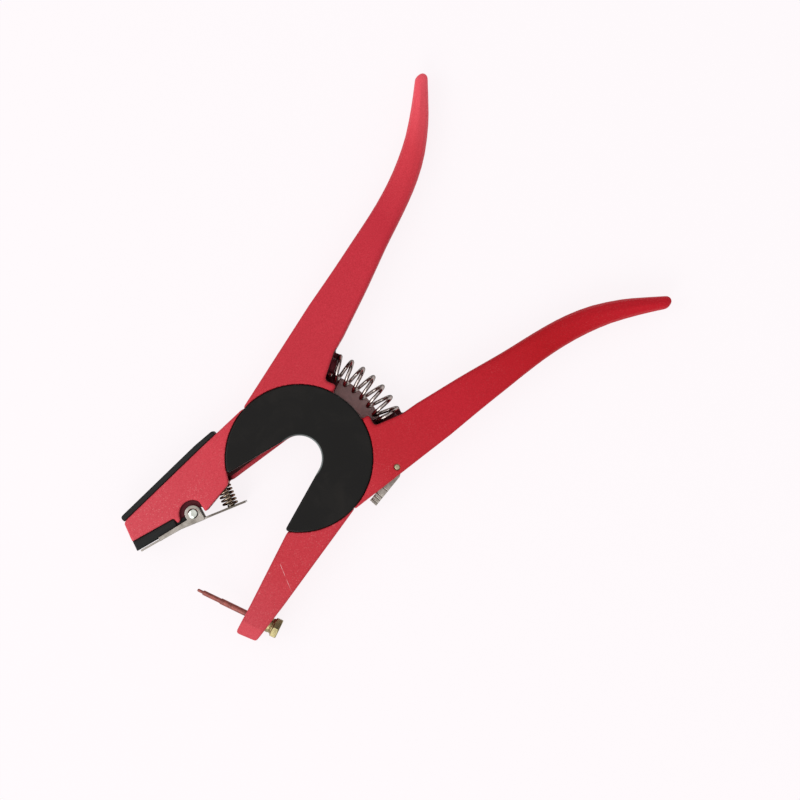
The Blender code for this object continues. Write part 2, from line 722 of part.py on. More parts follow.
def addClipArm():
    arm = addHandle("clip_arm", -1, "red_powder_coat")
    jaw = slab("clip_jaw", clipJawOutline(), 0, bodyDepth, cutter=True,
               roundPlan=castRound / 2, roundDepth=castRound / 2)
    boolean(arm, jaw, "UNION")
    boolean(arm, rimCutter("clip_arm_rim", rearHalf), "DIFFERENCE")
    boolean(arm, slab("rear_half", horseshoe(hubRadius, -1), *rearHalf, cutter=True), "UNION")
    addSeatFloor(arm, -1, hubRadius + lipThick - castRound)
    addSpigot(arm, -1)
    layers = earLayers()
    lugLow, lugHigh = layers[0][1] + runGap, layers[1][0] - runGap
    first, last = recessEnd + lugEase, recessStart - lugEase
    lug = arc(clipPivot, recessRadius + castRound, first, last, circleSteps // 2)
    lug += arc(clipPivot, lugRadius, last, 2 * math.pi + first, circleSteps // 2)
    boolean(arm, slab("clip_lug", lug, lugLow, lugHigh, cutter=True), "UNION")
    bm = bmesh.new()
    turnedMesh(bm, cylinder(clipRivetRadius + runGap, -overrun, bodyDepth + overrun),
               center=clipPivot)
    boolean(arm, meshObject("clip_rivet_way", bm, cutter=True), "DIFFERENCE")
    bm = bmesh.new()
    turnedMesh(bm, cylinder(anvilRadius, -padThick, anvilDepth), place=anvilPlace())
    boolean(arm, meshObject("anvil_way", bm, cutter=True), "DIFFERENCE")
    place = clipSpringFrame()
    edge = innerEdgeAt(place)
    bm = bmesh.new()
    turnedMesh(bm, cylinder(clipSpringOuter / 2 + runGap, edge - overrun,
                            edge + springPocketDepth + runGap), place=place)
    boolean(arm, meshObject("clip_spring_pocket", bm, cutter=True), "DIFFERENCE")
    boolean(arm, arcSlots("rear_slots", rivetShank + runGap, -overrun, rearHalf[1] + overrun),
            "DIFFERENCE")
    boolean(arm, arcSlots("rear_head_slots", rivetHead + runGap, -overrun,
                          rearHalf[0] + rivetHeadThick + runGap), "DIFFERENCE")
    boolean(arm, lockSlot(), "DIFFERENCE")
    bm = bmesh.new()
    turnedMesh(bm, cylinder(lockPinRadius + runGap, -overrun, bodyDepth + overrun),
               center=lockPivot)
    boolean(arm, meshObject("lock_pin_way", bm, cutter=True), "DIFFERENCE")
    return arm


def addCovers():
    front = slab("front_cover", horseshoe(hubRadius, 1), bodyDepth - coverThick,
                 bodyDepth + coverProud, "black_moulding",
                 roundPlan=coverRound, roundDepth=coverRound)
    band = throatBand(hubRadius - castRound, throatRadius, lipWall)
    lining = slab("throat_lining", band, frontHalf[0], bodyDepth - coverThick / 2, cutter=True)
    boolean(front, lining, "UNION")
    slab("rear_cover", horseshoe(hubRadius, -1, flange=flangeReach), 0, coverThick,
         "black_moulding", roundPlan=coverRound, roundDepth=coverRound)


def addSlideWasher():
    washer = slab("slide_washer", horseshoe(hubRadius, -1, throatRadius + lipWall + 2 * runGap),
                  *washerLayer, "brown_fibre")
    boolean(washer, arcSlots("washer_slots", rivetShank + runGap, washerLayer[0] - overrun,
                             washerLayer[1] + overrun), "DIFFERENCE")


def addHubRivets():
    low = rearHalf[0]
    top = frontHalf[1]
    for i, angle in enumerate(rivetAngles):
        profile = [(rivetHead, low), (rivetHead, low + rivetHeadThick),
                   (rivetShank, low + rivetHeadThick), (rivetShank, top - rivetHeadThick),
                   (rivetHead, top - rivetHeadThick), (rivetHead, top)]
        bm = bmesh.new()
        center = polar(rivetCircle, angle)
        turnedMesh(bm, profile, center=center, steps=pinSteps)
        meshObject(f"hub_rivet_{i + 1}", bm, "plated_steel")


def addPin():
    shoulder = -pinShoulder - runGap
    steps = [(flangeRadius, shoulder - flangeThick), (flangeRadius, shoulder),
             (pinRootRadius, shoulder), (pinRootRadius, pinRootLength),
             (pinMidRadius, pinRootLength + pinStepSlope),
             (pinMidRadius, pinRootLength + pinMidLength),
             (pinTipRadius, pinRootLength + pinMidLength + pinStepSlope)]
    top = pinRootLength + pinMidLength + pinTipLength
    steps += [(pinTipRadius, top - pinTipRound), (pinTipRadius - pinTipRound, top)]
    bm = bmesh.new()
    turnedMesh(bm, steps, steps=pinSteps, place=pinPlace())
    meshObject("applicator_pin", bm, "brown_painted_steel")


def addGlandNut():
    depth = jawThickness()
    top = -pinShoulder - 2 * runGap - flangeThick
    seat = -depth - nutNeck
    bm = bmesh.new()
    turnedMesh(bm, [(nutBarrelRadius, seat - nutChamfer), (nutBarrelRadius, top - nutChamfer),
                    (nutBarrelRadius - nutChamfer, top)], place=pinPlace())
    nut = meshObject("pin_gland_nut", bm, "yellow_plated_steel")
    hexagon = [polar(nutFlats / 2 / math.cos(math.pi / 6), math.pi / 3 * i) for i in range(6)]
    bm = bmesh.new()
    slabMesh(bm, hexagon, seat - nutHeight, seat, roundPlan=nutChamfer, roundDepth=nutChamfer,
             steps=1, place=pinPlace())
    boolean(nut, meshObject("nut_head", bm, cutter=True), "UNION")
    half = nutFlats / 2 + overrun
    slot = [Vector((-half, -nutSlotWidth / 2)), Vector((half, -nutSlotWidth / 2)),
            Vector((half, nutSlotWidth / 2)), Vector((-half, nutSlotWidth / 2))]
    bm = bmesh.new()
    slabMesh(bm, slot, seat - nutHeight - overrun, seat - nutHeight + nutSlotDepth,
             place=pinPlace())
    boolean(nut, meshObject("nut_slot", bm, cutter=True), "DIFFERENCE")


def padOutline():
    """Pad on its seat, thicker at the toe; its face is where the clip closes."""
    seat = (padHeel - clipJawToe).normalized()
    down = Vector((seat.y, -seat.x))
    toe = clipJawToe + down * runGap
    heel = padHeel + down * runGap
    return [toe, toe + down * padToeThick - seat * runGap,
            heel + down * padThick - seat * padHeelEase, heel]


def addPad():
    side = earInset + clipSheet + runGap
    pad = slab("anvil_pad", padOutline(), side, bodyDepth - side, "black_rubber",
               roundPlan=padRound, roundDepth=padRound)
    bm = bmesh.new()
    turnedMesh(bm, cylinder(anvilRadius, -2 * padThick, anvilDepth), place=anvilPlace())
    boolean(pad, meshObject("pad_way", bm, cutter=True), "DIFFERENCE")


# Outer strip, lying along the clip jaw's outer edge
stripStart = -0.3 * mm        # strip's toe past the jaw's top corner
stripEnd = 9.5 * mm           # strip's end short of the jaw's back corner, towards the hub
stripThick = 2.5 * mm
stripEndThick = 2.0 * mm
stripRound = 0.5 * mm
stripCorner = 0.8 * mm


def addStrip():
    run = (clipJawBack - clipJawTop).normalized()
    up = Vector((-run.y, run.x))
    first = polar((hubRadius + pinJawRootThick) / math.cos(rootSplit), rootAngle + rootSplit)
    slope = (first - clipJawBack).normalized()
    upEnd = Vector((-slope.y, slope.x))
    joint = (up + upEnd).normalized()
    toe = clipJawTop - run * stripStart + up * runGap
    knee = clipJawBack + joint * runGap
    end = clipJawBack + slope * stripEnd + upEnd * runGap
    corners = [(toe, 0), (knee, 0), (end, 0), (end + upEnd * stripEndThick, stripCorner),
               (knee + joint * stripThick, clipJawBackRound), (toe + up * stripThick, stripThick)]
    slab("outer_strip", filleted(corners), castRound, bodyDepth - castRound, "black_rubber",
         roundPlan=stripRound, roundDepth=stripRound)


def addClipLever():
    layers = earLayers()
    low, high = layers[0][0], layers[1][1]
    leverFront, leverKink, _ = leverPath()
    web = ribbon(leverPath(), clipSheet)
    lever = slab("clip_lever", web, low + earProud, high - earProud, "bright_steel",
                 origin=clipPivot)
    run = (leverKink - leverFront).normalized()
    back = (leverRear - leverKink).normalized()
    normal = lineNormal(leverFront, leverKink)
    backNormal = lineNormal(leverKink, leverRear)
    wallFoot = leverFront + run * wallStart
    for low, high in layers:
        ear = [wallFoot - normal * earProud,
               leverKink - (normal + backNormal).normalized() * earProud,
               leverKink + back * earFootRear - backNormal * earProud]
        ear += arc(clipPivot, earRadius, 0, math.pi, circleSteps // 2)
        ear += [wallFoot + normal * (clipSheet + wallRise)]
        boolean(lever, slab("clip_ear", ear, low, high, cutter=True), "UNION")
    bm = bmesh.new()
    turnedMesh(bm, cylinder(clipRivetRadius + runGap, -overrun, bodyDepth + overrun),
               center=clipPivot)
    boolean(lever, meshObject("ear_holes", bm, cutter=True), "DIFFERENCE")
    start = leverFront - run * overrun
    end = leverFront + run * (forkLength - forkWidth / 2)
    xAxis = Vector((run.x, run.y, 0))
    zAxis = Vector((normal.x, normal.y, 0))
    place = Matrix((xAxis, zAxis.cross(xAxis), zAxis)).transposed().to_4x4()
    place.translation = (end.x, end.y, midDepth)
    reach = (end - start).length
    fork = arc((0, 0), forkWidth / 2, -math.pi / 2, math.pi / 2, circleSteps // 2)
    fork += [Vector((-reach, forkWidth / 2)), Vector((-reach, -forkWidth / 2))]
    bm = bmesh.new()
    slabMesh(bm, fork, -overrun, overrun, place=place)
    boolean(lever, meshObject("clip_fork", bm, cutter=True), "DIFFERENCE")
    bm = bmesh.new()
    turnedMesh(bm, cylinder(nubRadius, -clipSheet / 2, nubHeight), steps=pinSteps,
               place=clipSpringFrame())
    boolean(lever, meshObject("spring_nub", bm, cutter=True), "UNION")


def addClipRivet():
    layers = earLayers()
    low = layers[0][0] - runGap
    high = layers[1][1] + runGap
    edge = clipHeadThick / 2
    bm = bmesh.new()
    turnedMesh(bm, [(clipRivetRadius, low - clipHeadThick), (clipHeadRadius, low - edge),
                    (clipHeadRadius, low), (clipRivetRadius, low), (clipRivetRadius, high),
                    (clipHeadRadius, high), (clipHeadRadius, high + edge),
                    (clipRivetRadius, high + clipHeadThick)], center=clipPivot, steps=pinSteps)
    meshObject("clip_rivet", bm, "bright_steel")


def coil(name, points, wire, material):
    """Round wire through the points, as one tube with closed ends."""
    curve = bpy.data.curves.new(name, "CURVE")
    curve.dimensions = "3D"
    curve.bevel_depth = wire / 2
    curve.bevel_resolution = 1
    curve.render_resolution_u = 0
    curve.use_fill_caps = True
    spline = curve.splines.new("POLY")
    spline.points.add(len(points) - 1)
    for target, point in zip(spline.points, points):
        target.co = (*point, 1)
    curve.materials.append(materials[material])
    obj = bpy.data.objects.new(name, curve)
    obj.location = (-restOffset, 0, 0)
    bpy.context.collection.objects.link(obj)


def leastGap(points, wire, perTurn):
    """Least distance between neighbouring turns, surface to surface."""
    apart = perTurn * 2 // 3
    nearest = min((a - b).length for i, a in enumerate(points) for b in points[i + apart:])
    return nearest - wire


def coilTravel(turns, perTurn, length, endPitch):
    """Share of the way along a coil at each point, with one closer turn at each end."""
    count = round(turns * perTurn)
    weights = []
    for i in range(count):
        turn = (i + 0.5) / perTurn
        close = turn < 1 or turn > turns - 1
        weights.append(endPitch if close else 0)
    spare = length - sum(w / perTurn for w in weights)
    opened = sum(1 for w in weights if w == 0)
    travel, way = 0.0, [0.0]
    for w in weights:
        travel += w / perTurn if w else spare / opened
        way.append(travel / length)
    return way


def addHandleSpring():
    inset = (springWire / 2 + runGap) / springRadius
    start, end = seatAngle - inset, -seatAngle + inset
    length = (start - end) * springRadius
    radius = (springOuter - springWire) / 2
    points = []
    for i, way in enumerate(coilTravel(springTurns, springPointsPerTurn, length, closedPitch)):
        angle = start + (end - start) * way
        turn = 2 * math.pi * i / springPointsPerTurn
        spot = polar(springRadius + radius * math.cos(turn), angle)
        points.append(Vector((spot.x, spot.y, midDepth + radius * math.sin(turn))))
    coil("handle_spring", points, springWire, "nickel_wire")
    print("handle_spring least gap mm", leastGap(points, springWire, springPointsPerTurn) / mm)


def addClipSpring():
    place = clipSpringFrame()
    low = clipSpringWire / 2 + runGap
    high = innerEdgeAt(place) + springPocketDepth - clipSpringWire / 2
    radius = (clipSpringOuter - clipSpringWire) / 2
    count = clipSpringTurns * springPointsPerTurn
    points = []
    for i in range(count + 1):
        turn = 2 * math.pi * i / springPointsPerTurn
        height = low + (high - low) * i / count
        points.append(place @ Vector((radius * math.cos(turn), radius * math.sin(turn), height)))
    coil("clip_spring", points, clipSpringWire, "nickel_wire")
    print("clip_spring least gap mm", leastGap(points, clipSpringWire, springPointsPerTurn) / mm)


# Lock lever, hinged in a slot of the clip arm's outer edge
lockCorner = Vector((0, -hubRadius))
lockPivotPlace = Vector((24.9 * mm, -2.0 * mm))
lockTipPlace = Vector((6.9 * mm, -6.5 * mm))
lockSlotEndPlace = Vector((3.6 * mm, -1.1 * mm))
lockBackPlace = Vector((22.6 * mm, -5.6 * mm))
lockPivot = lockCorner + lockPivotPlace
lockPinRadius = 1.1 * mm
lockPinInset = 0.4 * mm
lockEyeRadius = 2.3 * mm
lockSheet = 1.0 * mm
lockWidth = 6.0 * mm
lockTip = lockCorner + lockTipPlace
lockTipRise = 3.4 * mm        # height of the turned-in tip
lockSlotEnd = lockCorner + lockSlotEndPlace
lockBack = lockCorner + lockBackPlace


def lockSlot():
    """Slot for the lever, open along the handle's outer edge."""
    eye = lockEyeRadius + runGap
    depth = lockWidth / 2 + runGap
    ceiling = lockPivot.y + eye
    outer = lockTip.y - overrun
    outline = [Vector((lockSlotEnd.x, outer)), Vector((lockPivot.x + eye, outer))]
    outline += arc(lockPivot, eye, 0, math.pi / 2, circleSteps // 3)
    outline += [Vector((lockPivot.x - eye, ceiling)), lockSlotEnd]
    return slab("lock_slot", outline, midDepth - depth, midDepth + depth, cutter=True)


def addLockLever():
    """Folded sheet: an eye round the pin, a channel along the edge and a turned-in tip."""
    half = lockWidth / 2
    rise = Vector((0, lockTipRise))
    outer = arc(lockPivot, lockEyeRadius, -math.pi / 2, math.pi, circleSteps // 2)
    inner = [Vector((lockTip.x + lockSheet, lockTip.y + lockTipRise)), lockTip + rise]
    outline = [lockTip, lockBack] + outer + inner
    lever = slab("lock_lever", outline, midDepth - half, midDepth + half, "grey_steel",
                 origin=lockPivot)
    run = (lockBack - lockTip).normalized()
    up = Vector((-run.y, run.x))
    start = lockTip + run * lockSheet + up * lockSheet
    hollow = [start, lockBack + up * lockSheet - run * lockSheet,
              Vector((lockPivot.x - lockEyeRadius - lockSheet, lockPivot.y + lockEyeRadius)),
              start + up * 2 * lockTipRise]
    boolean(lever, slab("lock_hollow", hollow, midDepth - half + lockSheet,
                        midDepth + half - lockSheet, cutter=True), "DIFFERENCE")
    bm = bmesh.new()
    turnedMesh(bm, cylinder(lockPinRadius + runGap, -overrun, bodyDepth + overrun),
               center=lockPivot)
    boolean(lever, meshObject("lock_eye_hole", bm, cutter=True), "DIFFERENCE")


def addLockPin():
    bm = bmesh.new()
    turnedMesh(bm, cylinder(lockPinRadius, lockPinInset, bodyDepth - lockPinInset),
               center=lockPivot, steps=pinSteps)
    meshObject("lock_pin", bm, "yellow_plated_steel")


def main():
    for obj in list(bpy.data.objects):
        bpy.data.objects.remove(obj)
    paint("red_powder_coat", (0.58, 0.05, 0.07), 0.55, 0)
    paint("black_moulding", (0.016, 0.015, 0.014), 0.35, 0)
    paint("black_rubber", (0.045, 0.045, 0.05), 0.7, 0)
    paint("brown_fibre", (0.11, 0.07, 0.065), 0.6, 0)
    paint("plated_steel", (0.5, 0.5, 0.5), 0.35, 1)
    paint("bright_steel", (0.72, 0.73, 0.7), 0.25, 1)
    paint("grey_steel", (0.45, 0.45, 0.42), 0.4, 1)
    paint("nickel_wire", (0.6, 0.58, 0.56), 0.22, 1)
    paint("yellow_plated_steel", (0.5, 0.45, 0.2), 0.35, 1)
    paint("brown_painted_steel", (0.13, 0.06, 0.055), 0.5, 0)
    addPinArm()
    addClipArm()
    addCovers()
    addSlideWasher()
    addHubRivets()
    addHandleSpring()
    addPin()
    addGlandNut()
    addPad()
    addStrip()
    addClipLever()
    addClipRivet()
    addClipSpring()
    addLockLever()
    addLockPin()


main()
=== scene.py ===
import math

import bpy
from mathutils import Matrix, Vector


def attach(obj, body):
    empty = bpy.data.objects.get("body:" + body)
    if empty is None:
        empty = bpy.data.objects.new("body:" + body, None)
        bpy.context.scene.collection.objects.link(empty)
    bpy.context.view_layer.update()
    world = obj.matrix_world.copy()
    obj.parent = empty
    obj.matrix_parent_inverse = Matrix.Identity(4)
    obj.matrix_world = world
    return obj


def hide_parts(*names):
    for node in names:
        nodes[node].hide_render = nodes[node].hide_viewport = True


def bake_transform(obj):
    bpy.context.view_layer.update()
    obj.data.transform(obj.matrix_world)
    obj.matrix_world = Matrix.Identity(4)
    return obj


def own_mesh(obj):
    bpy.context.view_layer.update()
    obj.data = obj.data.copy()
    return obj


# Ear tag applicator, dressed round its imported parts. Lengths are in metres, and
# Z points out of the front face. Pieces are placed from the hub's axis, which is
# at hub["x"]; finishes, the handles' tips and the camera, from the origin.
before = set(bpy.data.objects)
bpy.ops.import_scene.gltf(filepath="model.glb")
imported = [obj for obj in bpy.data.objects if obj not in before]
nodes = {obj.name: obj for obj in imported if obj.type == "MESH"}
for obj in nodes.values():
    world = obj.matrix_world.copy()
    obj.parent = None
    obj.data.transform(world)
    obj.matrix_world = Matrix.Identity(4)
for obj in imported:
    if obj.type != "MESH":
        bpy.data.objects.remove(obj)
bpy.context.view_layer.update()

mm = 0.001
hub = {"x": -20 * mm, "radius": 30.7 * mm, "middle": 8 * mm}


# Small helpers for working on one object at a time

def clearPick():
    bpy.ops.object.select_all(action="DESELECT")


def pick(obj):
    clearPick()
    bpy.context.view_layer.objects.active = obj
    obj.select_set(True)


def applyPlace():
    bpy.ops.object.transform_apply(location=True, rotation=True, scale=True)


def applyModifier(obj, kind, **settings):
    pick(obj)
    modifier = obj.modifiers.new(kind.title(), kind)
    for key, value in settings.items():
        setattr(modifier, key, value)
    bpy.ops.object.modifier_apply(modifier=modifier.name)


def mergeDoubles(obj, distance=0.01 * mm):
    pick(obj)
    bpy.ops.object.mode_set(mode="EDIT")
    bpy.ops.mesh.select_all(action="SELECT")
    bpy.ops.mesh.remove_doubles(threshold=distance)
    bpy.ops.mesh.normals_make_consistent(inside=False)
    bpy.ops.object.mode_set(mode="OBJECT")


def smoothShade(obj, angle=35):
    pick(obj)
    bpy.ops.object.shade_smooth_by_angle(angle=math.radians(angle))


def copyNode(node, name):
    piece = nodes[node].copy()
    piece.data = piece.data.copy()
    piece.name = name
    piece.parent = None
    for key in list(piece.keys()):
        del piece[key]
    bpy.context.collection.objects.link(piece)
    mergeDoubles(piece)
    return piece


# Facets and hard edges are worked round
def soften(piece, voxel, passes, angle=50):
    applyModifier(piece, "REMESH", mode="VOXEL", voxel_size=voxel)
    applyModifier(piece, "SMOOTH", factor=0.5, iterations=passes)
    smoothShade(piece, angle)


def softenedCopy(node, name, voxel, passes):
    piece = copyNode(node, name)
    soften(piece, voxel, passes)
    return piece


# Sheet metal keeps flat faces and gets a fine round on its edges
sheet = {"merge": 0.02 * mm, "segments": 2, "sharpFrom": math.radians(40), "shade": 60}


def roundEdges(piece, width):
    mergeDoubles(piece, sheet["merge"])
    applyModifier(piece, "BEVEL", width=width, segments=sheet["segments"],
                  limit_method="ANGLE", angle_limit=sheet["sharpFrom"],
                  use_clamp_overlap=False)
    smoothShade(piece, sheet["shade"])
    applyModifier(piece, "WEIGHTED_NORMAL", keep_sharp=True)


# A turned piece: a disc drawn out step by step through (radius, height)
def turnedPiece(name, profile, place, sides=48, angle=35):
    clearPick()
    radius, height = profile[0]
    bpy.ops.mesh.primitive_circle_add(vertices=sides, radius=radius, fill_type="NGON",
                                      location=(0, 0, height))
    piece = bpy.context.object
    piece.name = name
    applyPlace()
    bpy.ops.object.mode_set(mode="EDIT")
    bpy.ops.mesh.select_all(action="SELECT")
    for nextRadius, nextHeight in profile[1:]:
        bpy.ops.mesh.extrude_region_move(
            TRANSFORM_OT_translate={"value": (0, 0, nextHeight - height)})
        share = nextRadius / radius
        bpy.ops.transform.resize(value=(share, share, 1), center_override=(0, 0, 0))
        radius, height = nextRadius, nextHeight
    bpy.ops.mesh.select_all(action="SELECT")
    bpy.ops.mesh.normals_make_consistent(inside=False)
    bpy.ops.object.mode_set(mode="OBJECT")
    piece.data.transform(place)
    smoothShade(piece, angle)
    return piece


def inMetres(profile):
    return [(radius * mm, height * mm) for radius, height in profile]


# A frame in the plan: Z runs along the direction, X points out of the front
def planFrame(x, y, direction):
    zAxis = Vector((math.cos(direction), math.sin(direction), 0))
    xAxis = Vector((0, 0, 1))
    place = Matrix((xAxis, zAxis.cross(xAxis), zAxis)).transposed().to_4x4()
    place.translation = (x + hub["x"], y, hub["middle"])
    return place


def uprightFrame(spot):
    return Matrix.Translation((spot.x + hub["x"], spot.y, 0))


def joinShape(piece, tool, operation):
    applyModifier(piece, "BOOLEAN", operation=operation, solver="EXACT", object=tool)
    bpy.data.objects.remove(tool)


# A block whose plan is four corners in mm: lower left, lower right, upper left,
# upper right
def planBlock(corners, rear, front):
    clearPick()
    bpy.ops.mesh.primitive_cube_add(size=2)
    block = bpy.context.object
    for vertex in block.data.vertices:
        x, y = corners[(vertex.co.x > 0) + 2 * (vertex.co.y > 0)]
        vertex.co = (x * mm + hub["x"], y * mm, front if vertex.co.z > 0 else rear)
    return block


# A flat ring sector about the hub's axis, spun clockwise from its start
def sector(name, inner, outer, low, high, start, turn, steps):
    clearPick()
    bpy.ops.mesh.primitive_plane_add(size=1, rotation=(math.pi / 2, 0, 0))
    piece = bpy.context.object
    piece.name = name
    piece.scale = (outer - inner, high - low, 1)
    piece.location = ((inner + outer) / 2, 0, (low + high) / 2)
    applyPlace()
    piece.data.transform(Matrix.Rotation(start, 4, "Z"))
    bpy.ops.object.mode_set(mode="EDIT")
    bpy.ops.mesh.select_all(action="SELECT")
    bpy.ops.mesh.spin(steps=steps, angle=turn, center=(0, 0, 0), axis=(0, 0, 1))
    bpy.ops.mesh.select_all(action="SELECT")
    bpy.ops.mesh.remove_doubles(threshold=0.001 * mm)
    bpy.ops.mesh.fill_holes(sides=0)
    bpy.ops.mesh.normals_make_consistent(inside=False)
    bpy.ops.object.mode_set(mode="OBJECT")
    piece.data.transform(Matrix.Translation((hub["x"], 0, 0)))
    return piece


def dress(piece, material, body, slot, *replaced):
    piece.data.materials.clear()
    piece.data.materials.append(material)
    for polygon in piece.data.polygons:
        polygon.material_index = 0
    if body:
        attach(piece, body)
    if replaced:
        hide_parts(*replaced)


# Node helpers for the finishes. A noise is (scale, detail, roughness, distortion)
# or its first few, and a range is (from, to) or (from, to, low, high).

def newFinish(name, color, roughness, metallic=0.0, specular=0.5):
    material = bpy.data.materials.new(name)
    material.use_nodes = True
    tree = material.node_tree
    shader = tree.nodes["Principled BSDF"]
    shader.inputs["Base Color"].default_value = (*color, 1)
    shader.inputs["Roughness"].default_value = roughness
    shader.inputs["Metallic"].default_value = metallic
    shader.inputs["Specular IOR Level"].default_value = specular
    coords = tree.nodes.new("ShaderNodeTexCoord").outputs["Object"]
    return material, tree, shader, coords


def noiseNode(tree, coords, scale, detail=3.0, roughness=0.5, distortion=0.0):
    node = tree.nodes.new("ShaderNodeTexNoise")
    node.inputs["Scale"].default_value = scale
    node.inputs["Detail"].default_value = detail
    node.inputs["Roughness"].default_value = roughness
    node.inputs["Distortion"].default_value = distortion
    tree.links.new(coords, node.inputs["Vector"])
    return node.outputs["Fac"]


def mappedCoords(tree, coords, location=(0, 0, 0), rotation=(0, 0, 0), scale=(1, 1, 1)):
    node = tree.nodes.new("ShaderNodeMapping")
    node.inputs["Location"].default_value = location
    node.inputs["Rotation"].default_value = rotation
    node.inputs["Scale"].default_value = scale
    tree.links.new(coords, node.inputs["Vector"])
    return node.outputs["Vector"]


def rampNode(tree, value, stops):
    node = tree.nodes.new("ShaderNodeValToRGB")
    ramp = node.color_ramp
    ramp.elements[0].position, ramp.elements[0].color = stops[0][0], (*stops[0][1], 1)
    ramp.elements[1].position, ramp.elements[1].color = stops[-1][0], (*stops[-1][1], 1)
    for position, color in stops[1:-1]:
        ramp.elements.new(position).color = (*color, 1)
    tree.links.new(value, node.inputs["Fac"])
    return node.outputs["Color"]


def rangeNode(tree, value, low, high, toLow=0.0, toHigh=1.0):
    node = tree.nodes.new("ShaderNodeMapRange")
    for socket, number in (("From Min", low), ("From Max", high),
                           ("To Min", toLow), ("To Max", toHigh)):
        node.inputs[socket].default_value = number
    tree.links.new(value, node.inputs["Value"])
    return node.outputs["Result"]


def mathNode(tree, operation, a, b=None):
    node = tree.nodes.new("ShaderNodeMath")
    node.operation = operation
    for socket, value in zip(node.inputs, (a, b)):
        if value is None:
            continue
        if isinstance(value, (int, float)):
            socket.default_value = value
        else:
            tree.links.new(value, socket)
    return node.outputs["Value"]


def product(tree, a, b):
    return mathNode(tree, "MULTIPLY", a, b)


def mixColor(tree, factor, a, b, blend="MIX"):
    node = tree.nodes.new("ShaderNodeMix")
    node.data_type = "RGBA"
    node.blend_type = blend
    node.clamp_factor = True
    for socket, value in ((node.inputs[0], factor), (node.inputs[6], a), (node.inputs[7], b)):
        if isinstance(value, (int, float)):
            socket.default_value = value
        elif isinstance(value, tuple):
            socket.default_value = (*value, 1)
        else:
            tree.links.new(value, socket)
    return node.outputs[2]


def bumpNode(tree, shader, height, strength, distance):
    node = tree.nodes.new("ShaderNodeBump")
    node.inputs["Strength"].default_value = strength
    node.inputs["Distance"].default_value = distance
    tree.links.new(height, node.inputs["Height"])
    tree.links.new(node.outputs["Normal"], shader.inputs["Normal"])


def splitNode(tree, coords):
    node = tree.nodes.new("ShaderNodeSeparateXYZ")
    tree.links.new(coords, node.inputs["Vector"])
    return node.outputs


def planDistance(tree, coords, x, y):
    node = tree.nodes.new("ShaderNodeVectorMath")
    node.operation = "LENGTH"
    flat = mappedCoords(tree, coords, location=(-x, -y, 0), scale=(1, 1, 0))
    tree.links.new(flat, node.inputs[0])
    return node.outputs["Value"]


# Sharpness of the surface: low in hollows, high on ridges
def ridgeValue(tree, low, high):
    return rangeNode(tree, tree.nodes.new("ShaderNodeNewGeometry").outputs["Pointiness"],
                     low, high)


facing = (0.2, 0.6)  # the normal's share along Z


# One on faces that look out of the front, zero on walls
def frontFacing(tree):
    normal = tree.nodes.new("ShaderNodeNewGeometry").outputs["Normal"]
    return rangeNode(tree, splitNode(tree, normal)["Z"], *facing)


coat = {
    "shade": (0.80, 0.64, 0.67),
    "full": (1.0, 1.0, 1.0),
    "speck": (0.86, 0.40, 0.37),
    "bare": (0.95, 0.72, 0.70),
    # Near-black maroon of the painted shade on low ledges and in hollows
    "paintedShade": (0.040, 0.006, 0.010),
    "roughness": 0.5,
    "specular": 0.12,
    "toneReach": (-92 * mm, 134 * mm),  # from the jaws' toes to the handles' tips
    "grain": (2600, 3, 0.6),
    "grainStops": (0.34, 0.62),
    "cloud": (48, 3),
    "cloudShare": (0.3, 0.7, 0.0, 0.22),
    "cells": 1250,
    "speckSize": (0.12, 0.30, 1.0, 0.0),
    "patches": (80, 2),
    "patchEdge": (0.40, 0.62, 0.1),  # up to each arm's own specks
    "jawToHandle": (-40 * mm, 10 * mm, 1.0, 0.25),  # specks thin out behind the jaws
    "ridges": (0.55, 0.63),
    "ridgeWearAndHighlight": (0.4, 0.7, 0.0, 0.4),
    "ledge": (5.5 * mm, 7.5 * mm, 0.92, 0.0),
    "hollowTop": (14.7 * mm, 15.4 * mm, 1.0, 0.0),
    "hollowFoot": (0.5 * mm, 1.1 * mm),
    "hollowBlur": 0.5 * mm,
    "sheen": (0.3, 0.7, 0.62, 0.44),
    "peel": (2000, 2, 0.6),
    "peelStrength": 0.4,
    "peelHeight": 0.08 * mm,
}
# Reds along X: the paint's own red, and painted light that makes it paler towards the jaws'
# toes and the handles' tips. The hollows get painted shade: x, y, radius in the plan,
# strength
pinArmCoatSet = {
    "redsAndPaintedLight": [(0.0, (0.62, 0.078, 0.098)), (0.14, (0.585, 0.046, 0.060)),
              (0.32, (0.585, 0.039, 0.056)), (0.75, (0.585, 0.031, 0.050)),
              (0.88, (0.70, 0.052, 0.071)), (1.0, (0.97, 0.125, 0.158))],
    "hollows": [(17.4 * mm, 16.8 * mm, 7.4 * mm, 0.92)],
    "specks": 0.2,
    "scratched": True,
}
clipArmCoatSet = {
    "redsAndPaintedLight": [(0.0, (0.68, 0.084, 0.106)), (0.26, (0.65, 0.054, 0.074)),
              (0.42, (0.53, 0.022, 0.033)), (0.58, (0.54, 0.016, 0.029)),
              (0.78, (0.475, 0.007, 0.013)), (1.0, (0.57, 0.011, 0.023))],
    "hollows": [(17.4 * mm, -16.8 * mm, 7.4 * mm, 0.92),
                (-67 * mm, 17.2 * mm, 5.9 * mm, 0.93)],
    "specks": 0.3,
    "scratched": False,
}
scratch = {"x": -57.9 * mm, "y": -23.9 * mm, "turn": math.radians(-115.1),
           "length": 12.3 * mm, "width": 0.11 * mm, "fadeIn": 0.4 * mm, "fadeOut": 0.6 * mm,
           "breaks": (420, 2), "breakShare": (0.38, 0.56, 0.05, 0.55),
           "front": (14.8 * mm, 15.2 * mm)}


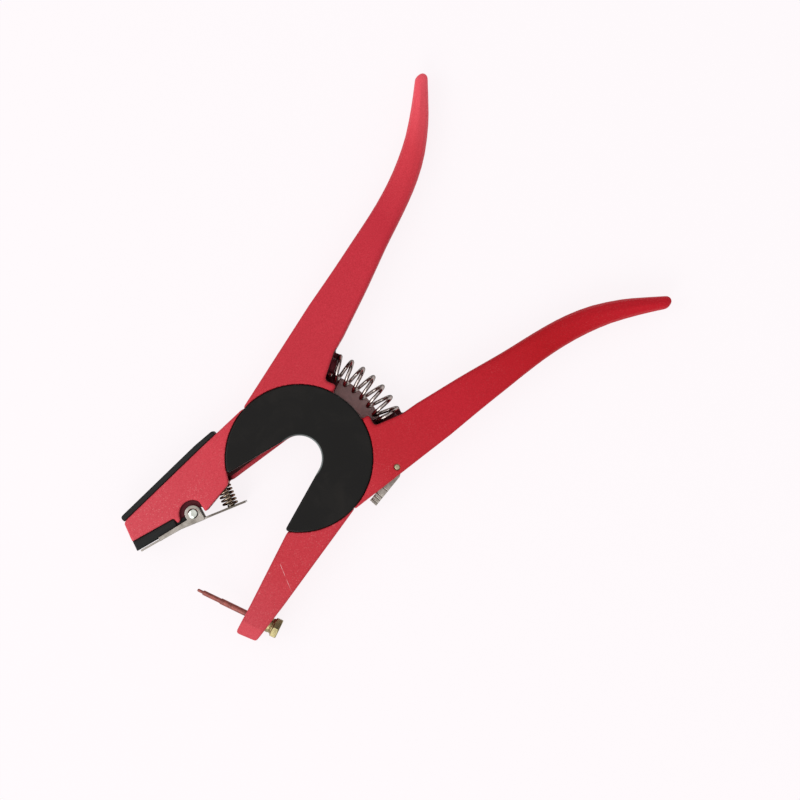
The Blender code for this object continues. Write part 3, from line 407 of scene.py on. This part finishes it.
def scratchMask(tree, coords):
    centred = mappedCoords(tree, coords, location=(-scratch["x"], -scratch["y"], 0))
    spot = splitNode(tree, mappedCoords(tree, centred, rotation=(0, 0, -scratch["turn"])))
    begun = rangeNode(tree, spot["X"], 0, scratch["fadeIn"])
    ended = rangeNode(tree, spot["X"], scratch["length"],
                      scratch["length"] + scratch["fadeOut"], 1.0, 0.0)
    across = rangeNode(tree, mathNode(tree, "ABSOLUTE", spot["Y"]), scratch["width"] * 0.5,
                       scratch["width"], 1.0, 0.0)
    broken = rangeNode(tree, noiseNode(tree, coords, *scratch["breaks"]),
                       *scratch["breakShare"])
    line = product(tree, product(tree, begun, ended), across)
    front = rangeNode(tree, splitNode(tree, coords)["Z"], *scratch["front"])
    return product(tree, product(tree, line, front), broken)


# Textured powder coat over a cast arm; its red changes from jaw to handle, with painted
# light towards the ends, painted shade on low ledges and in hollows, and pale edges
# that are partly wear and partly a painted highlight
def powderCoat(name, own):
    material, tree, shader, coords = newFinish(name, own["redsAndPaintedLight"][1][1], coat["roughness"],
                                               specular=coat["specular"])
    place = splitNode(tree, coords)
    # Painted light: the red grows paler towards the jaws' toes and the handles' tips
    redAndPaintedLight = rampNode(tree, rangeNode(tree, place["X"], *coat["toneReach"]), own["redsAndPaintedLight"])
    grain = noiseNode(tree, coords, *coat["grain"])
    cloud = noiseNode(tree, coords, *coat["cloud"])
    low, high = coat["grainStops"]
    grained = rampNode(tree, grain, [(low, coat["shade"]), (high, coat["full"])])
    base = mixColor(tree, 1.0, redAndPaintedLight, grained, "MULTIPLY")
    base = mixColor(tree, rangeNode(tree, cloud, *coat["cloudShare"]), base,
                    mixColor(tree, 1.0, redAndPaintedLight, coat["shade"], "MULTIPLY"))
    cells = tree.nodes.new("ShaderNodeTexVoronoi")
    cells.inputs["Scale"].default_value = coat["cells"]
    tree.links.new(coords, cells.inputs["Vector"])
    specks = rangeNode(tree, cells.outputs["Distance"], *coat["speckSize"])
    patches = rangeNode(tree, noiseNode(tree, coords, *coat["patches"]), *coat["patchEdge"],
                        own["specks"])
    patches = product(tree, patches, rangeNode(tree, place["X"], *coat["jawToHandle"]))
    base = mixColor(tree, product(tree, specks, patches), base, coat["speck"])
    # Pale edges on the ridges: partly wear of the coat, partly a painted highlight
    worn = product(tree, ridgeValue(tree, *coat["ridges"]),
                   rangeNode(tree, grain, *coat["ridgeWearAndHighlight"]))
    base = mixColor(tree, worn, base, coat["speck"])
    if own["scratched"]:
        base = mixColor(tree, scratchMask(tree, coords), base, coat["bare"])
    # Painted shade: up-facing faces low in the arm, and the hollows round the spring seats
    # and the clip's ear, are darkened
    paintedShade = product(tree, frontFacing(tree), rangeNode(tree, place["Z"], *coat["ledge"]))
    deep = product(tree, rangeNode(tree, place["Z"], *coat["hollowTop"]),
                   rangeNode(tree, place["Z"], *coat["hollowFoot"]))
    for x, y, radius, share in own["hollows"]:
        near = rangeNode(tree, planDistance(tree, coords, x, y), radius,
                         radius + coat["hollowBlur"], share, 0.0)
        paintedShade = mathNode(tree, "MAXIMUM", paintedShade, product(tree, near, deep))
    base = mixColor(tree, paintedShade, base, coat["paintedShade"])
    tree.links.new(base, shader.inputs["Base Color"])
    tree.links.new(rangeNode(tree, grain, *coat["sheen"]), shader.inputs["Roughness"])
    peel = noiseNode(tree, coords, *coat["peel"])
    bumpNode(tree, shader, peel, coat["peelStrength"], coat["peelHeight"])
    return material


print("Finishes for the arms")
pinArmCoat = powderCoat("pin_arm_powder_coat", pinArmCoatSet)
clipArmCoat = powderCoat("clip_arm_powder_coat", clipArmCoatSet)

print("Arms")
arm = {"voxel": 0.5 * mm, "passes": 5, "tipStart": 126 * mm, "tipBlend": 4 * mm,
       "tipPasses": 30, "shade": 50}
clipSpringSet = {"foot": Vector((-34.253, 7.5475)) * mm, "lean": math.radians(64.74),
                 "coil": 2.95 * mm, "wire": 0.88 * mm, "turns": 8, "low": 0.55 * mm,
                 "high": 12.7 * mm, "perTurn": 40}
# The clip jaw's inner edge, built out to its line, and the clip spring's bore in it
jawEdge = {"corners": ((-42.9, 13.75), (-28.2, 14.45), (-41.6, 18.5), (-26.4, 19.8)),
           "rear": 0.06 * mm, "front": 15.94 * mm, "bore": 3.72 * mm, "boreStart": 5 * mm,
           "boreEnd": 13.3 * mm, "boreSides": 48}


# The handles' ends are worked rounder than the rest
def roundTip(piece):
    group = piece.vertex_groups.new(name="tip")
    for vertex in piece.data.vertices:
        share = (vertex.co.x - arm["tipStart"]) / arm["tipBlend"]
        if share > 0:
            group.add([vertex.index], min(share, 1), "REPLACE")
    applyModifier(piece, "SMOOTH", factor=0.5, iterations=arm["tipPasses"],
                  vertex_group=group.name)
    piece.vertex_groups.clear()
    smoothShade(piece, arm["shade"])


def springBore():
    clearPick()
    bpy.ops.mesh.primitive_cylinder_add(
        vertices=jawEdge["boreSides"], radius=jawEdge["bore"],
        depth=jawEdge["boreEnd"] - jawEdge["boreStart"],
        location=(0, 0, (jawEdge["boreEnd"] + jawEdge["boreStart"]) / 2))
    bore = bpy.context.object
    applyPlace()
    bore.data.transform(planFrame(*clipSpringSet["foot"], clipSpringSet["lean"]))
    return bore


pinArm = softenedCopy("pin_arm", "pin_arm_casting", arm["voxel"], arm["passes"])
roundTip(pinArm)
dress(pinArm, pinArmCoat, "pin_arm", "red_powder_coat", "pin_arm")
clipArm = copyNode("clip_arm", "clip_arm_casting")
joinShape(clipArm, planBlock(jawEdge["corners"], jawEdge["rear"], jawEdge["front"]), "UNION")
joinShape(clipArm, springBore(), "DIFFERENCE")
soften(clipArm, arm["voxel"], arm["passes"])
roundTip(clipArm)
dress(clipArm, clipArmCoat, "clip_arm", "red_powder_coat", "clip_arm")


moulding = {
    "black": (0.0046, 0.0043, 0.0036),
    "smudge": (0.0115, 0.0098, 0.008),
    "brown": (0.52, 0.36, 0.34),
    "dust": (0.38, 0.27, 0.26),
    # Paler grey of the painted highlight on the throat's rim and at the cover's corner
    "paintedHighlight": (0.30, 0.33, 0.32),
    "roughness": 0.4,
    "specular": 0.16,
    "smear": (70, 5, 0.6, 0.6),
    "smearShare": (0.5, 0.75, 0.0, 0.7),
    "fine": (900, 3),
    "flange": (hub["radius"] - 0.7 * mm, hub["radius"] + 0.5 * mm),
    "dustShare": (0.3, 0.7, 0.0, 0.6),
    "throatRim": (9.9 * mm, 10.2 * mm, 1.0, 0.0),
    "rimTop": (15.5 * mm, 15.9 * mm),
    "rimBreaks": (50, 2),
    "rimShare": (0.35, 0.6, 0.25, 0.9),
    "tipSpot": Vector((-43.1, 19.1, 16)) * mm,  # corner of the front cover at the throat
    "tipShare": (4 * mm, 8 * mm, 0.8, 0.06),
    "ridges": (0.54, 0.60),
    "sheen": (0.3, 0.7, 0.30, 0.48),
    "bumpStrength": 0.12,
    "bumpHeight": 0.02 * mm,
}


# Black moulding with handling marks, and a painted highlight on the rim inside the
# throat and at the cover's corner there; the rear cover's flange is dusty brown
def blackMoulding(name, dusty):
    material, tree, shader, coords = newFinish(name, moulding["black"], moulding["roughness"],
                                               specular=moulding["specular"])
    smear = noiseNode(tree, coords, *moulding["smear"])
    fine = noiseNode(tree, coords, *moulding["fine"])
    base = mixColor(tree, rangeNode(tree, smear, *moulding["smearShare"]), moulding["black"],
                    moulding["smudge"])
    fromHub = planDistance(tree, coords, hub["x"], 0)
    if dusty:
        out = product(tree, rangeNode(tree, fromHub, *moulding["flange"]), frontFacing(tree))
        dust = mixColor(tree, rangeNode(tree, fine, *moulding["dustShare"]),
                        moulding["brown"], moulding["dust"])
        base = mixColor(tree, out, base, dust)
    # Painted highlight: a paler rim along the throat's top edge, and on the ridges near the
    # cover's corner
    breaks = noiseNode(tree, coords, *moulding["rimBreaks"])
    paintedRimHighlight = product(tree, rangeNode(tree, fromHub, *moulding["throatRim"]),
                  rangeNode(tree, breaks, *moulding["rimShare"]))
    paintedRimHighlight = product(tree, paintedRimHighlight, rangeNode(tree, splitNode(tree, coords)["Z"],
                                       *moulding["rimTop"]))
    near = tree.nodes.new("ShaderNodeVectorMath")
    near.operation = "DISTANCE"
    near.inputs[1].default_value = moulding["tipSpot"]
    tree.links.new(coords, near.inputs[0])
    paintedHighlight = product(tree, ridgeValue(tree, *moulding["ridges"]),
                     rangeNode(tree, near.outputs["Value"], *moulding["tipShare"]))
    base = mixColor(tree, mathNode(tree, "MAXIMUM", paintedRimHighlight, paintedHighlight), base, moulding["paintedHighlight"])
    tree.links.new(base, shader.inputs["Base Color"])
    tree.links.new(rangeNode(tree, smear, *moulding["sheen"]), shader.inputs["Roughness"])
    bumpNode(tree, shader, fine, moulding["bumpStrength"], moulding["bumpHeight"])
    return material


print("Hub covers")
cover = {"voxel": 0.33 * mm, "passes": 2, "spread": 1.006}
frontCover = softenedCopy("front_cover", "front_cover_moulding", cover["voxel"],
                          cover["passes"])
spread = Matrix.Diagonal((cover["spread"], cover["spread"], 1, 1))
axis = Matrix.Translation((hub["x"], 0, 0))
frontCover.data.transform(axis @ spread @ axis.inverted())
dress(frontCover, blackMoulding("front_moulding", False), "pin_arm", "black_moulding",
      "front_cover")

# The rear cover's flange shows behind the spring, between the lips of the arms
flange = {"inner": 29 * mm, "outer": 37.8 * mm, "low": 0.01 * mm, "high": 1.4 * mm,
          "start": math.radians(15.6), "turn": math.radians(40.6), "steps": 41}
rearCover = copyNode("rear_cover", "rear_cover_moulding")
joinShape(rearCover, sector("flange", **flange), "UNION")
soften(rearCover, cover["voxel"], cover["passes"])
dress(rearCover, blackMoulding("rear_moulding", True), "clip_arm", "black_moulding",
      "rear_cover")

# Thin web of the pin arm's casting, over the flange and behind the spring's end
web = {"inner": 31.3 * mm, "outer": 38.9 * mm, "low": 1.66 * mm, "high": 1.86 * mm,
       "start": math.radians(26.5), "turn": math.radians(11.3), "steps": 12}
seatWeb = sector("pin_arm_seat_web", **web)
dress(seatWeb, pinArmCoat, "pin_arm", "red_powder_coat")


# Plain stock with a fine grain in its colour and sheen
plain = {"dips": 0.3, "peaks": 0.7, "detail": 4, "breaks": 0.6, "bright": 0.8, "dull": 1.25,
         "bumpHeight": 0.04 * mm}


def plainFinish(name, color, roughness, metallic, scale, spread, bump=0.1, specular=0.5,
                edge=1.0):
    material, tree, shader, coords = newFinish(name, color, roughness, metallic, specular)
    shader.inputs["Specular Tint"].default_value = (edge, edge, edge, 1)
    grain = noiseNode(tree, coords, scale, plain["detail"], plain["breaks"])
    low = tuple(c * (1 - spread) for c in color)
    high = tuple(min(c * (1 + spread), 1) for c in color)
    tree.links.new(rampNode(tree, grain, [(plain["dips"], low), (plain["peaks"], high)]),
                   shader.inputs["Base Color"])
    tree.links.new(rangeNode(tree, grain, plain["dips"], plain["peaks"],
                             roughness * plain["bright"], roughness * plain["dull"]),
                   shader.inputs["Roughness"])
    bumpNode(tree, shader, grain, bump, plain["bumpHeight"])
    return material


worn = {"patches": (210, 4, 0.6, 0.4), "patchShare": (0.42, 0.70, 0.0, 0.7),
        "strokes": (160, 1500, 1500), "rub": (1.0, 3, 0.6), "rubShare": (0.5, 0.75, 0.0, 0.5),
        "darkerShare": (0.0, 0.9), "sheen": (0.3, 0.7), "bright": 0.75, "dull": 1.4,
        "bumpStrength": 0.12, "bumpHeight": 0.03 * mm}


# Handled sheet steel: duller patches, fine rubbing along one way and, where asked,
# a colour that grows darker between two places along X
def wornSteel(name, color, dull, roughness, turn, darkerAlongX=None):
    material, tree, shader, coords = newFinish(name, color, roughness, 1.0)
    patch = noiseNode(tree, coords, *worn["patches"])
    strokes = mappedCoords(tree, coords, rotation=(0, 0, -turn), scale=worn["strokes"])
    rub = noiseNode(tree, strokes, *worn["rub"])
    base = mixColor(tree, rangeNode(tree, patch, *worn["patchShare"]), color, dull)
    base = mixColor(tree, rangeNode(tree, rub, *worn["rubShare"]), base, dull)
    # Darker from the first to the second of two places along X
    if darkerAlongX:
        along = rangeNode(tree, splitNode(tree, coords)["X"], *darkerAlongX, *worn["darkerShare"])
        base = mixColor(tree, along, base, dull)
    tree.links.new(base, shader.inputs["Base Color"])
    sheen = rangeNode(tree, patch, *worn["sheen"], roughness * worn["bright"],
                      roughness * worn["dull"])
    tree.links.new(sheen, shader.inputs["Roughness"])
    bumpNode(tree, shader, rub, worn["bumpStrength"], worn["bumpHeight"])
    return material


print("Springs")
mainSpring = {"arc": 41 * mm, "coil": 5.1 * mm, "wire": 1.6 * mm, "turns": 7.25,
              "phase": 0.375, "seat": math.radians(24.2), "seatGap": 0.3 * mm,
              "endPitch": 1.5 * mm, "perTurn": 56}
wireRound = {"resolution": 5, "merge": 0.001 * mm, "shade": 60}


def woundWire(name, spots, wire):
    curve = bpy.data.curves.new(name, "CURVE")
    curve.dimensions = "3D"
    curve.bevel_depth = wire / 2
    curve.bevel_resolution = wireRound["resolution"]
    curve.use_fill_caps = True
    spline = curve.splines.new("POLY")
    spline.points.add(len(spots) - 1)
    for target, spot in zip(spline.points, spots):
        target.co = (*spot, 1)
    piece = bpy.data.objects.new(name, curve)
    bpy.context.collection.objects.link(piece)
    pick(piece)
    bpy.ops.object.convert(target="MESH")
    piece = bpy.context.object
    mergeDoubles(piece, wireRound["merge"])
    smoothShade(piece, wireRound["shade"])
    return piece


# Coils round an arc about the hub's axis: close at both ends, even between them
def mainSpringSpots():
    inset = (mainSpring["wire"] / 2 + mainSpring["seatGap"]) / mainSpring["arc"]
    start = mainSpring["seat"] - inset
    length = 2 * start * mainSpring["arc"]
    steps = round(mainSpring["turns"] * mainSpring["perTurn"])
    turns = [i / mainSpring["perTurn"] for i in range(steps + 1)]
    opened = [max(0, min(1, t, mainSpring["turns"] - t)) for t in turns]
    opening = [c * c * (3 - 2 * c) for c in opened]
    spare = length - mainSpring["endPitch"] * mainSpring["turns"]
    total = sum(opening[:-1])
    spots, way = [], 0.0
    for t, share in zip(turns, opening):
        angle = start - way / mainSpring["arc"]
        turn = 2 * math.pi * (t + mainSpring["phase"])
        radius = mainSpring["arc"] + mainSpring["coil"] * math.cos(turn)
        spots.append((radius * math.cos(angle) + hub["x"], radius * math.sin(angle),
                      hub["middle"] + mainSpring["coil"] * math.sin(turn)))
        way += mainSpring["endPitch"] / mainSpring["perTurn"] + spare * share / total
    return spots


def clipSpringSpots():
    place = planFrame(*clipSpringSet["foot"], clipSpringSet["lean"])
    steps = clipSpringSet["turns"] * clipSpringSet["perTurn"]
    rise = clipSpringSet["high"] - clipSpringSet["low"]
    spots = []
    for i in range(steps + 1):
        turn = 2 * math.pi * i / clipSpringSet["perTurn"]
        spots.append(place @ Vector((clipSpringSet["coil"] * math.cos(turn),
                                     clipSpringSet["coil"] * math.sin(turn),
                                     clipSpringSet["low"] + rise * i / steps)))
    return spots


nickel = plainFinish("nickel_wire", color=(0.44, 0.39, 0.365), roughness=0.17,
                     metallic=1.0, scale=700, spread=0.3, edge=0.25)
handleSpring = woundWire("handle_spring_coil", mainSpringSpots(), mainSpring["wire"])
dress(handleSpring, nickel, None, "nickel_wire", "handle_spring")
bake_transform(handleSpring)

clipSpring = woundWire("clip_spring_coil", clipSpringSpots(), clipSpringSet["wire"])
brownWire = plainFinish("brown_nickel_wire", color=(0.34, 0.275, 0.20), roughness=0.22,
                        metallic=1.0, scale=700, spread=0.35, edge=0.2)
dress(clipSpring, brownWire, "clip_arm", "nickel_wire", "clip_spring")
lean = clipSpringSet["lean"]
springTop = planFrame(*clipSpringSet["foot"], lean) @ Vector((0, 0, clipSpringSet["high"]))
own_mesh(clipSpring)


print("Pin and gland nut")
# Profiles are (radius, height) in mm, with the height from the jaw's inner edge
pin = {"foot": Vector((-63.4, -27.1)) * mm, "lean": math.radians(106.5),
       "profile": ((3.3, -5.4), (3.3, -3.9), (1.3, -3.9), (1.3, 11.3), (1.22, 11.5),
                   (1.05, 11.75), (1.05, 19.5), (0.95, 19.7), (0.65, 19.95),
                   (0.65, 21.9), (0.5, 22.25), (0.3, 22.4))}
pinFrame = planFrame(*pin["foot"], pin["lean"])
pinPiece = turnedPiece("applicator_pin_turned", inMetres(pin["profile"]), pinFrame)
pinPaint = plainFinish("pin_brown_paint", color=(0.27, 0.066, 0.050), roughness=0.36,
                       metallic=0.25, scale=500, spread=0.35)
dress(pinPiece, pinPaint, "pin_arm", "brown_painted_steel", "applicator_pin")

nut = {"barrel": ((3.4, -13.4), (3.4, -12.4), (3.15, -12.2), (3.15, -11.9), (3.4, -11.7),
                  (3.4, -6.3), (2.9, -5.8)),
       "flats": 8.0 * mm, "seat": -12.92 * mm, "height": 2.9 * mm, "turn": math.radians(30),
       "faceCut": 0.75 * mm, "sideCut": 0.45 * mm, "cornerSpare": 0.1 * mm,
       "domeSides": 72, "slot": 1.2 * mm, "slotLength": 12 * mm, "merge": 0.01 * mm,
       "voxel": 0.11 * mm, "passes": 4, "shade": 60}
nutEnd = nut["seat"] - nut["height"]


# The hexagon's corners are turned off at both ends
def hexagonHead():
    clearPick()
    corner = nut["flats"] / 2 / math.cos(math.pi / 6)
    bpy.ops.mesh.primitive_cylinder_add(vertices=6, radius=corner, depth=nut["height"],
                                        location=(0, 0, nut["seat"] - nut["height"] / 2))
    head = bpy.context.object
    applyPlace()
    head.data.transform(Matrix.Rotation(nut["turn"], 4, "Z"))
    head.data.transform(pinFrame)
    turned = [(corner - nut["faceCut"], nutEnd), (corner, nutEnd + nut["sideCut"]),
              (corner + nut["cornerSpare"], nut["seat"] - nut["sideCut"]),
              (corner - nut["faceCut"], nut["seat"])]
    dome = turnedPiece("nut_dome", turned, pinFrame, sides=nut["domeSides"])
    joinShape(head, dome, "INTERSECT")
    return head


def nutSlot():
    clearPick()
    bpy.ops.mesh.primitive_cube_add(size=1, location=(0, 0, nutEnd))
    tool = bpy.context.object
    bpy.ops.transform.resize(value=(nut["slot"], nut["slotLength"], 2 * nut["slot"]))
    applyPlace()
    tool.data.transform(pinFrame)
    return tool


nutPiece = turnedPiece("pin_gland_nut_turned", inMetres(nut["barrel"]), pinFrame)
joinShape(nutPiece, hexagonHead(), "UNION")
joinShape(nutPiece, nutSlot(), "DIFFERENCE")
mergeDoubles(nutPiece, nut["merge"])
soften(nutPiece, nut["voxel"], nut["passes"], nut["shade"])
zinc = plainFinish("yellow_zinc", color=(0.32, 0.28, 0.14), roughness=0.40, metallic=1.0,
                   scale=350, spread=0.4)
dress(nutPiece, zinc, "pin_arm", "yellow_plated_steel", "pin_gland_nut")


print("Jaw rubbers")
rubber = plainFinish("black_rubber", color=(0.0105, 0.0112, 0.0108), roughness=0.62,
                     metallic=0.0, scale=1300, spread=0.4, bump=0.4, specular=0.22)
# The heel's blocks (left, bottom, right, top in mm) fill the corner between the
# jaw's step and the clip
padSet = {"toe": Vector((-72.8, 27.7)) * mm, "turn": math.radians(-18.25),
          "push": 0.4 * mm, "blend": 2 * mm, "voxel": 0.25 * mm, "passes": 2,
          "heelRear": 2.8 * mm, "heelFront": 13.2 * mm,
          "heel": ((-56.0, 18.0, -50.2, 19.3), (-56.0, 18.2, -54.0, 21.3),
                   (-53.2, 17.2, -50.2, 18.5))}


def heelBlock(left, bottom, right, top):
    clearPick()
    bpy.ops.mesh.primitive_cube_add(
        size=1, scale=((right - left) * mm, (top - bottom) * mm,
                       padSet["heelFront"] - padSet["heelRear"]),
        location=((left + right) / 2 * mm + hub["x"], (bottom + top) / 2 * mm,
                  (padSet["heelFront"] + padSet["heelRear"]) / 2))
    block = bpy.context.object
    applyPlace()
    return block


pad = copyNode("anvil_pad", "anvil_pad_rubber")
for edges in padSet["heel"]:
    joinShape(pad, heelBlock(*edges), "UNION")
soften(pad, padSet["voxel"], padSet["passes"])
jawWard = Vector((-math.sin(padSet["turn"]), math.cos(padSet["turn"])))
for vertex in pad.data.vertices:  # the rubber swells up against its seat in the jaw
    height = (Vector((vertex.co.x - hub["x"], vertex.co.y)) - padSet["toe"]).dot(jawWard)
    share = padSet["push"] * max(0, min(1, 1 + height / padSet["blend"]))
    vertex.co.xy += jawWard * share
dress(pad, rubber, "clip_arm", "black_rubber", "anvil_pad")
stripSet = {"voxel": 0.25 * mm, "passes": 4, "shift": Vector((-0.016, -0.25, 0)) * mm}
strip = softenedCopy("outer_strip", "outer_strip_rubber", stripSet["voxel"],
                     stripSet["passes"])
strip.data.transform(Matrix.Translation(stripSet["shift"]))
dress(strip, rubber, "clip_arm", "black_rubber", "outer_strip")


print("Clip")
leverSet = {"edge": 0.14 * mm, "rub": math.radians(-17.7), "darkerReach": (-65 * mm, -62 * mm),
            "nub": Vector((-33.05, 6.98)) * mm, "nubReach": 1.7 * mm, "nubFoot": -0.05 * mm}
rivetSet = {"pivot": Vector((-47.0, 17.2)) * mm,
            "profile": ((0.4, 0.1), (1.3, 0.18), (1.9, 0.4), (2.2, 0.7), (2.2, 0.75),
                        (1.2, 0.75), (1.2, 15.25), (2.2, 15.25), (2.2, 15.3),
                        (1.9, 15.6), (1.3, 15.82), (0.4, 15.9))}
leverSteel = wornSteel("clip_lever_steel", color=(0.47, 0.445, 0.395),
                       dull=(0.13, 0.115, 0.09), roughness=0.26, turn=leverSet["rub"],
                       darkerAlongX=leverSet["darkerReach"])
bright = plainFinish("bright_steel", color=(0.64, 0.69, 0.62), roughness=0.2, metallic=1.0,
                     scale=260, spread=0.2)
lever = copyNode("clip_lever", "clip_lever_sheet")
nubFrame = planFrame(*leverSet["nub"], clipSpringSet["lean"])
for vertex in lever.data.vertices:  # the nub goes where the spring's foot stands
    spot = nubFrame.inverted() @ vertex.co
    if spot.xy.length < leverSet["nubReach"] and spot.z > leverSet["nubFoot"]:
        vertex.co.xy += clipSpringSet["foot"] - leverSet["nub"]
roundEdges(lever, leverSet["edge"])
dress(lever, leverSteel, "clip_lever", "bright_steel", "clip_lever")
rivet = turnedPiece("clip_rivet_turned", inMetres(rivetSet["profile"]),
                    uprightFrame(rivetSet["pivot"]))
dress(rivet, bright, "clip_arm", "bright_steel", "clip_rivet")


print("Lock")
lock = {"tip": Vector((6.9, -37.2)) * mm, "turn": math.radians(3.3), "edge": 0.07 * mm,
        "ribs": (1.3 * mm, 2.9 * mm, 4.5 * mm, 7.9 * mm), "groove": 0.36 * mm,
        "grooveSides": 24, "grooveSide": 1 * mm, "grooveLength": 8 * mm,
        "grooveMiddles": (11 * mm, 5 * mm)}
lockPinSet = {"pivot": Vector((24.9, -32.7)) * mm,
              "profile": ((0.8, 0.4), (1.1, 0.5), (1.22, 0.65), (1.22, 1.1), (1.45, 1.1),
                          (1.45, 1.6), (1.1, 1.6), (1.1, 14.4), (1.45, 14.4),
                          (1.45, 14.9), (1.22, 14.9), (1.22, 15.35), (1.1, 15.5),
                          (0.8, 15.6))}
lockSteel = wornSteel("grey_steel", color=(0.36, 0.335, 0.295), dull=(0.10, 0.09, 0.07),
                      roughness=0.34, turn=lock["turn"])


def grooveTool(spot, middle):
    clearPick()
    bpy.ops.mesh.primitive_cylinder_add(
        vertices=lock["grooveSides"], radius=lock["groove"], depth=lock["grooveLength"],
        location=(spot.x + hub["x"], spot.y + lock["grooveSide"], middle),
        rotation=(math.pi / 2, 0, lock["turn"]))
    tool = bpy.context.object
    applyPlace()
    return tool


lockLever = copyNode("lock_lever", "lock_lever_sheet")
along = Vector((math.cos(lock["turn"]), math.sin(lock["turn"])))
for rib in lock["ribs"]:  # finger grooves across the folded end
    for middle in lock["grooveMiddles"]:
        joinShape(lockLever, grooveTool(lock["tip"] + along * rib, middle), "DIFFERENCE")
roundEdges(lockLever, lock["edge"])
dress(lockLever, lockSteel, "lock_lever", "grey_steel", "lock_lever")
lockPin = turnedPiece("lock_pin_turned", inMetres(lockPinSet["profile"]),
                      uprightFrame(lockPinSet["pivot"]))
dullZinc = plainFinish("dull_yellow_zinc", color=(0.37, 0.33, 0.21), roughness=0.42,
                       metallic=1.0, scale=350, spread=0.3)
dress(lockPin, dullZinc, "clip_arm", "yellow_plated_steel", "lock_pin")


print("Slide washer and hub rivets")
fibre = plainFinish("brown_fibre", color=(0.050, 0.013, 0.013), roughness=0.7, metallic=0.0,
                    scale=600, spread=0.3, specular=0.1)
platedSteel = plainFinish("plated_steel", color=(0.5, 0.5, 0.48), roughness=0.33,
                          metallic=1.0, scale=500, spread=0.2)
for node, material in (("slide_washer", fibre), ("hub_rivet_1", platedSteel),
                       ("hub_rivet_2", platedSteel), ("hub_rivet_3", platedSteel)):
    nodes[node].data.materials.clear()
    nodes[node].data.materials.append(material)


print("Floor, lights and camera")
stage = {"turn": math.radians(-47.6), "aim": Vector((26.4 * mm, -14.7 * mm, 8 * mm)),
         "width": 336 * mm, "distance": 1.3, "sensor": 36}
floorSet = {"size": 8, "height": -0.2 * mm, "color": (0.97, 0.93, 0.95), "roughness": 0.9,
            "glow": (1.0, 0.952, 0.970), "glowShare": 0.9}
lamps = {"key_lamp": {"place": (-1.50, -0.50, 1.45), "size": 1.5, "power": 18},
         "side_lamp": {"place": (-0.80, 0.95, 1.5), "size": 1.3, "power": 9}}
cards = {"height": 0.40, "scale": (1.5, 0.78, 1), "color": (0.02, 0.02, 0.02),
         "places": {"card_right": (0.8, 0, math.pi / 2), "card_far": (0, 0.8, 0),
                    "card_near": (0, -0.8, 0)}}
room = {"light": (0.95, 0.97, 1.0), "strength": 0.66, "seen": (1.0, 0.956, 0.973)}


# One where the camera sees the surface or finds it in a reflection
def seenNode(tree):
    path = tree.nodes.new("ShaderNodeLightPath").outputs
    seen = mathNode(tree, "MAXIMUM", path["Is Camera Ray"], path["Is Glossy Ray"])
    return mathNode(tree, "MAXIMUM", seen, path["Is Transmission Ray"])


def mixShaders(tree, share, a, b, target):
    mix = tree.nodes.new("ShaderNodeMixShader")
    for socket, output in zip(mix.inputs, (share, a, b)):
        tree.links.new(output, socket)
    tree.links.new(mix.outputs["Shader"], target)


def floorFinish():
    material, tree, shader = newFinish("pale_floor", floorSet["color"],
                                       floorSet["roughness"], specular=0.0)[:3]
    glow = tree.nodes.new("ShaderNodeEmission")
    glow.inputs["Color"].default_value = (*floorSet["glow"], 1)
    glow.inputs["Strength"].default_value = 1
    share = product(tree, seenNode(tree), floorSet["glowShare"])
    mixShaders(tree, share, shader.outputs["BSDF"], glow.outputs["Emission"],
               tree.nodes["Material Output"].inputs["Surface"])
    return material


clearPick()
bpy.ops.mesh.primitive_plane_add(size=floorSet["size"], location=(0, 0, floorSet["height"]))
floor = bpy.context.object
floor.name = "floor"
applyPlace()
floor.data.materials.append(floorFinish())


def softLamp(name, place, size, power):
    lamp = bpy.data.lights.new(name, "AREA")
    lamp.shape = "DISK"
    lamp.size = size
    lamp.energy = power
    holder = bpy.data.objects.new(name, lamp)
    bpy.context.collection.objects.link(holder)
    holder.location = place
    holder.rotation_euler = (stage["aim"] - Vector(place)).to_track_quat("-Z", "Y").to_euler()


# Dark cards that only reflections see, so that wire and sheet metal have contrast
def darkCard(name, x, y, turn):
    clearPick()
    bpy.ops.mesh.primitive_plane_add(size=1, location=(x, y, cards["height"]),
                                     rotation=(math.pi / 2, 0, turn))
    card = bpy.context.object
    card.name = name
    card.scale = cards["scale"]
    applyPlace()
    card.data.materials.append(newFinish(name, cards["color"], 1, specular=0)[0])
    card.visible_camera = False
    card.visible_diffuse = False
    card.visible_shadow = False
    card.visible_transmission = False


for name, own in lamps.items():
    softLamp(name, **own)
for name, place in cards["places"].items():
    darkCard(name, *place)

world = bpy.data.worlds.new("pale_room")
bpy.context.scene.world = world
world.use_nodes = True
tree = world.node_tree
light = tree.nodes["Background"]
light.inputs["Color"].default_value = (*room["light"], 1)
light.inputs["Strength"].default_value = room["strength"]
backdrop = tree.nodes.new("ShaderNodeBackground")
backdrop.inputs["Color"].default_value = (*room["seen"], 1)
backdrop.inputs["Strength"].default_value = 1
mixShaders(tree, seenNode(tree), light.outputs["Background"],
           backdrop.outputs["Background"], tree.nodes["World Output"].inputs["Surface"])

cameraData = bpy.data.cameras.new("camera")
cameraData.sensor_width = stage["sensor"]
cameraData.lens = stage["sensor"] * stage["distance"] / stage["width"]
camera = bpy.data.objects.new("camera", cameraData)
bpy.context.collection.objects.link(camera)
camera.location = stage["aim"] + Vector((0, 0, stage["distance"]))
camera.rotation_euler = (0, 0, stage["turn"])
bpy.context.scene.camera = camera
bpy.context.scene.view_settings.view_transform = "Standard"
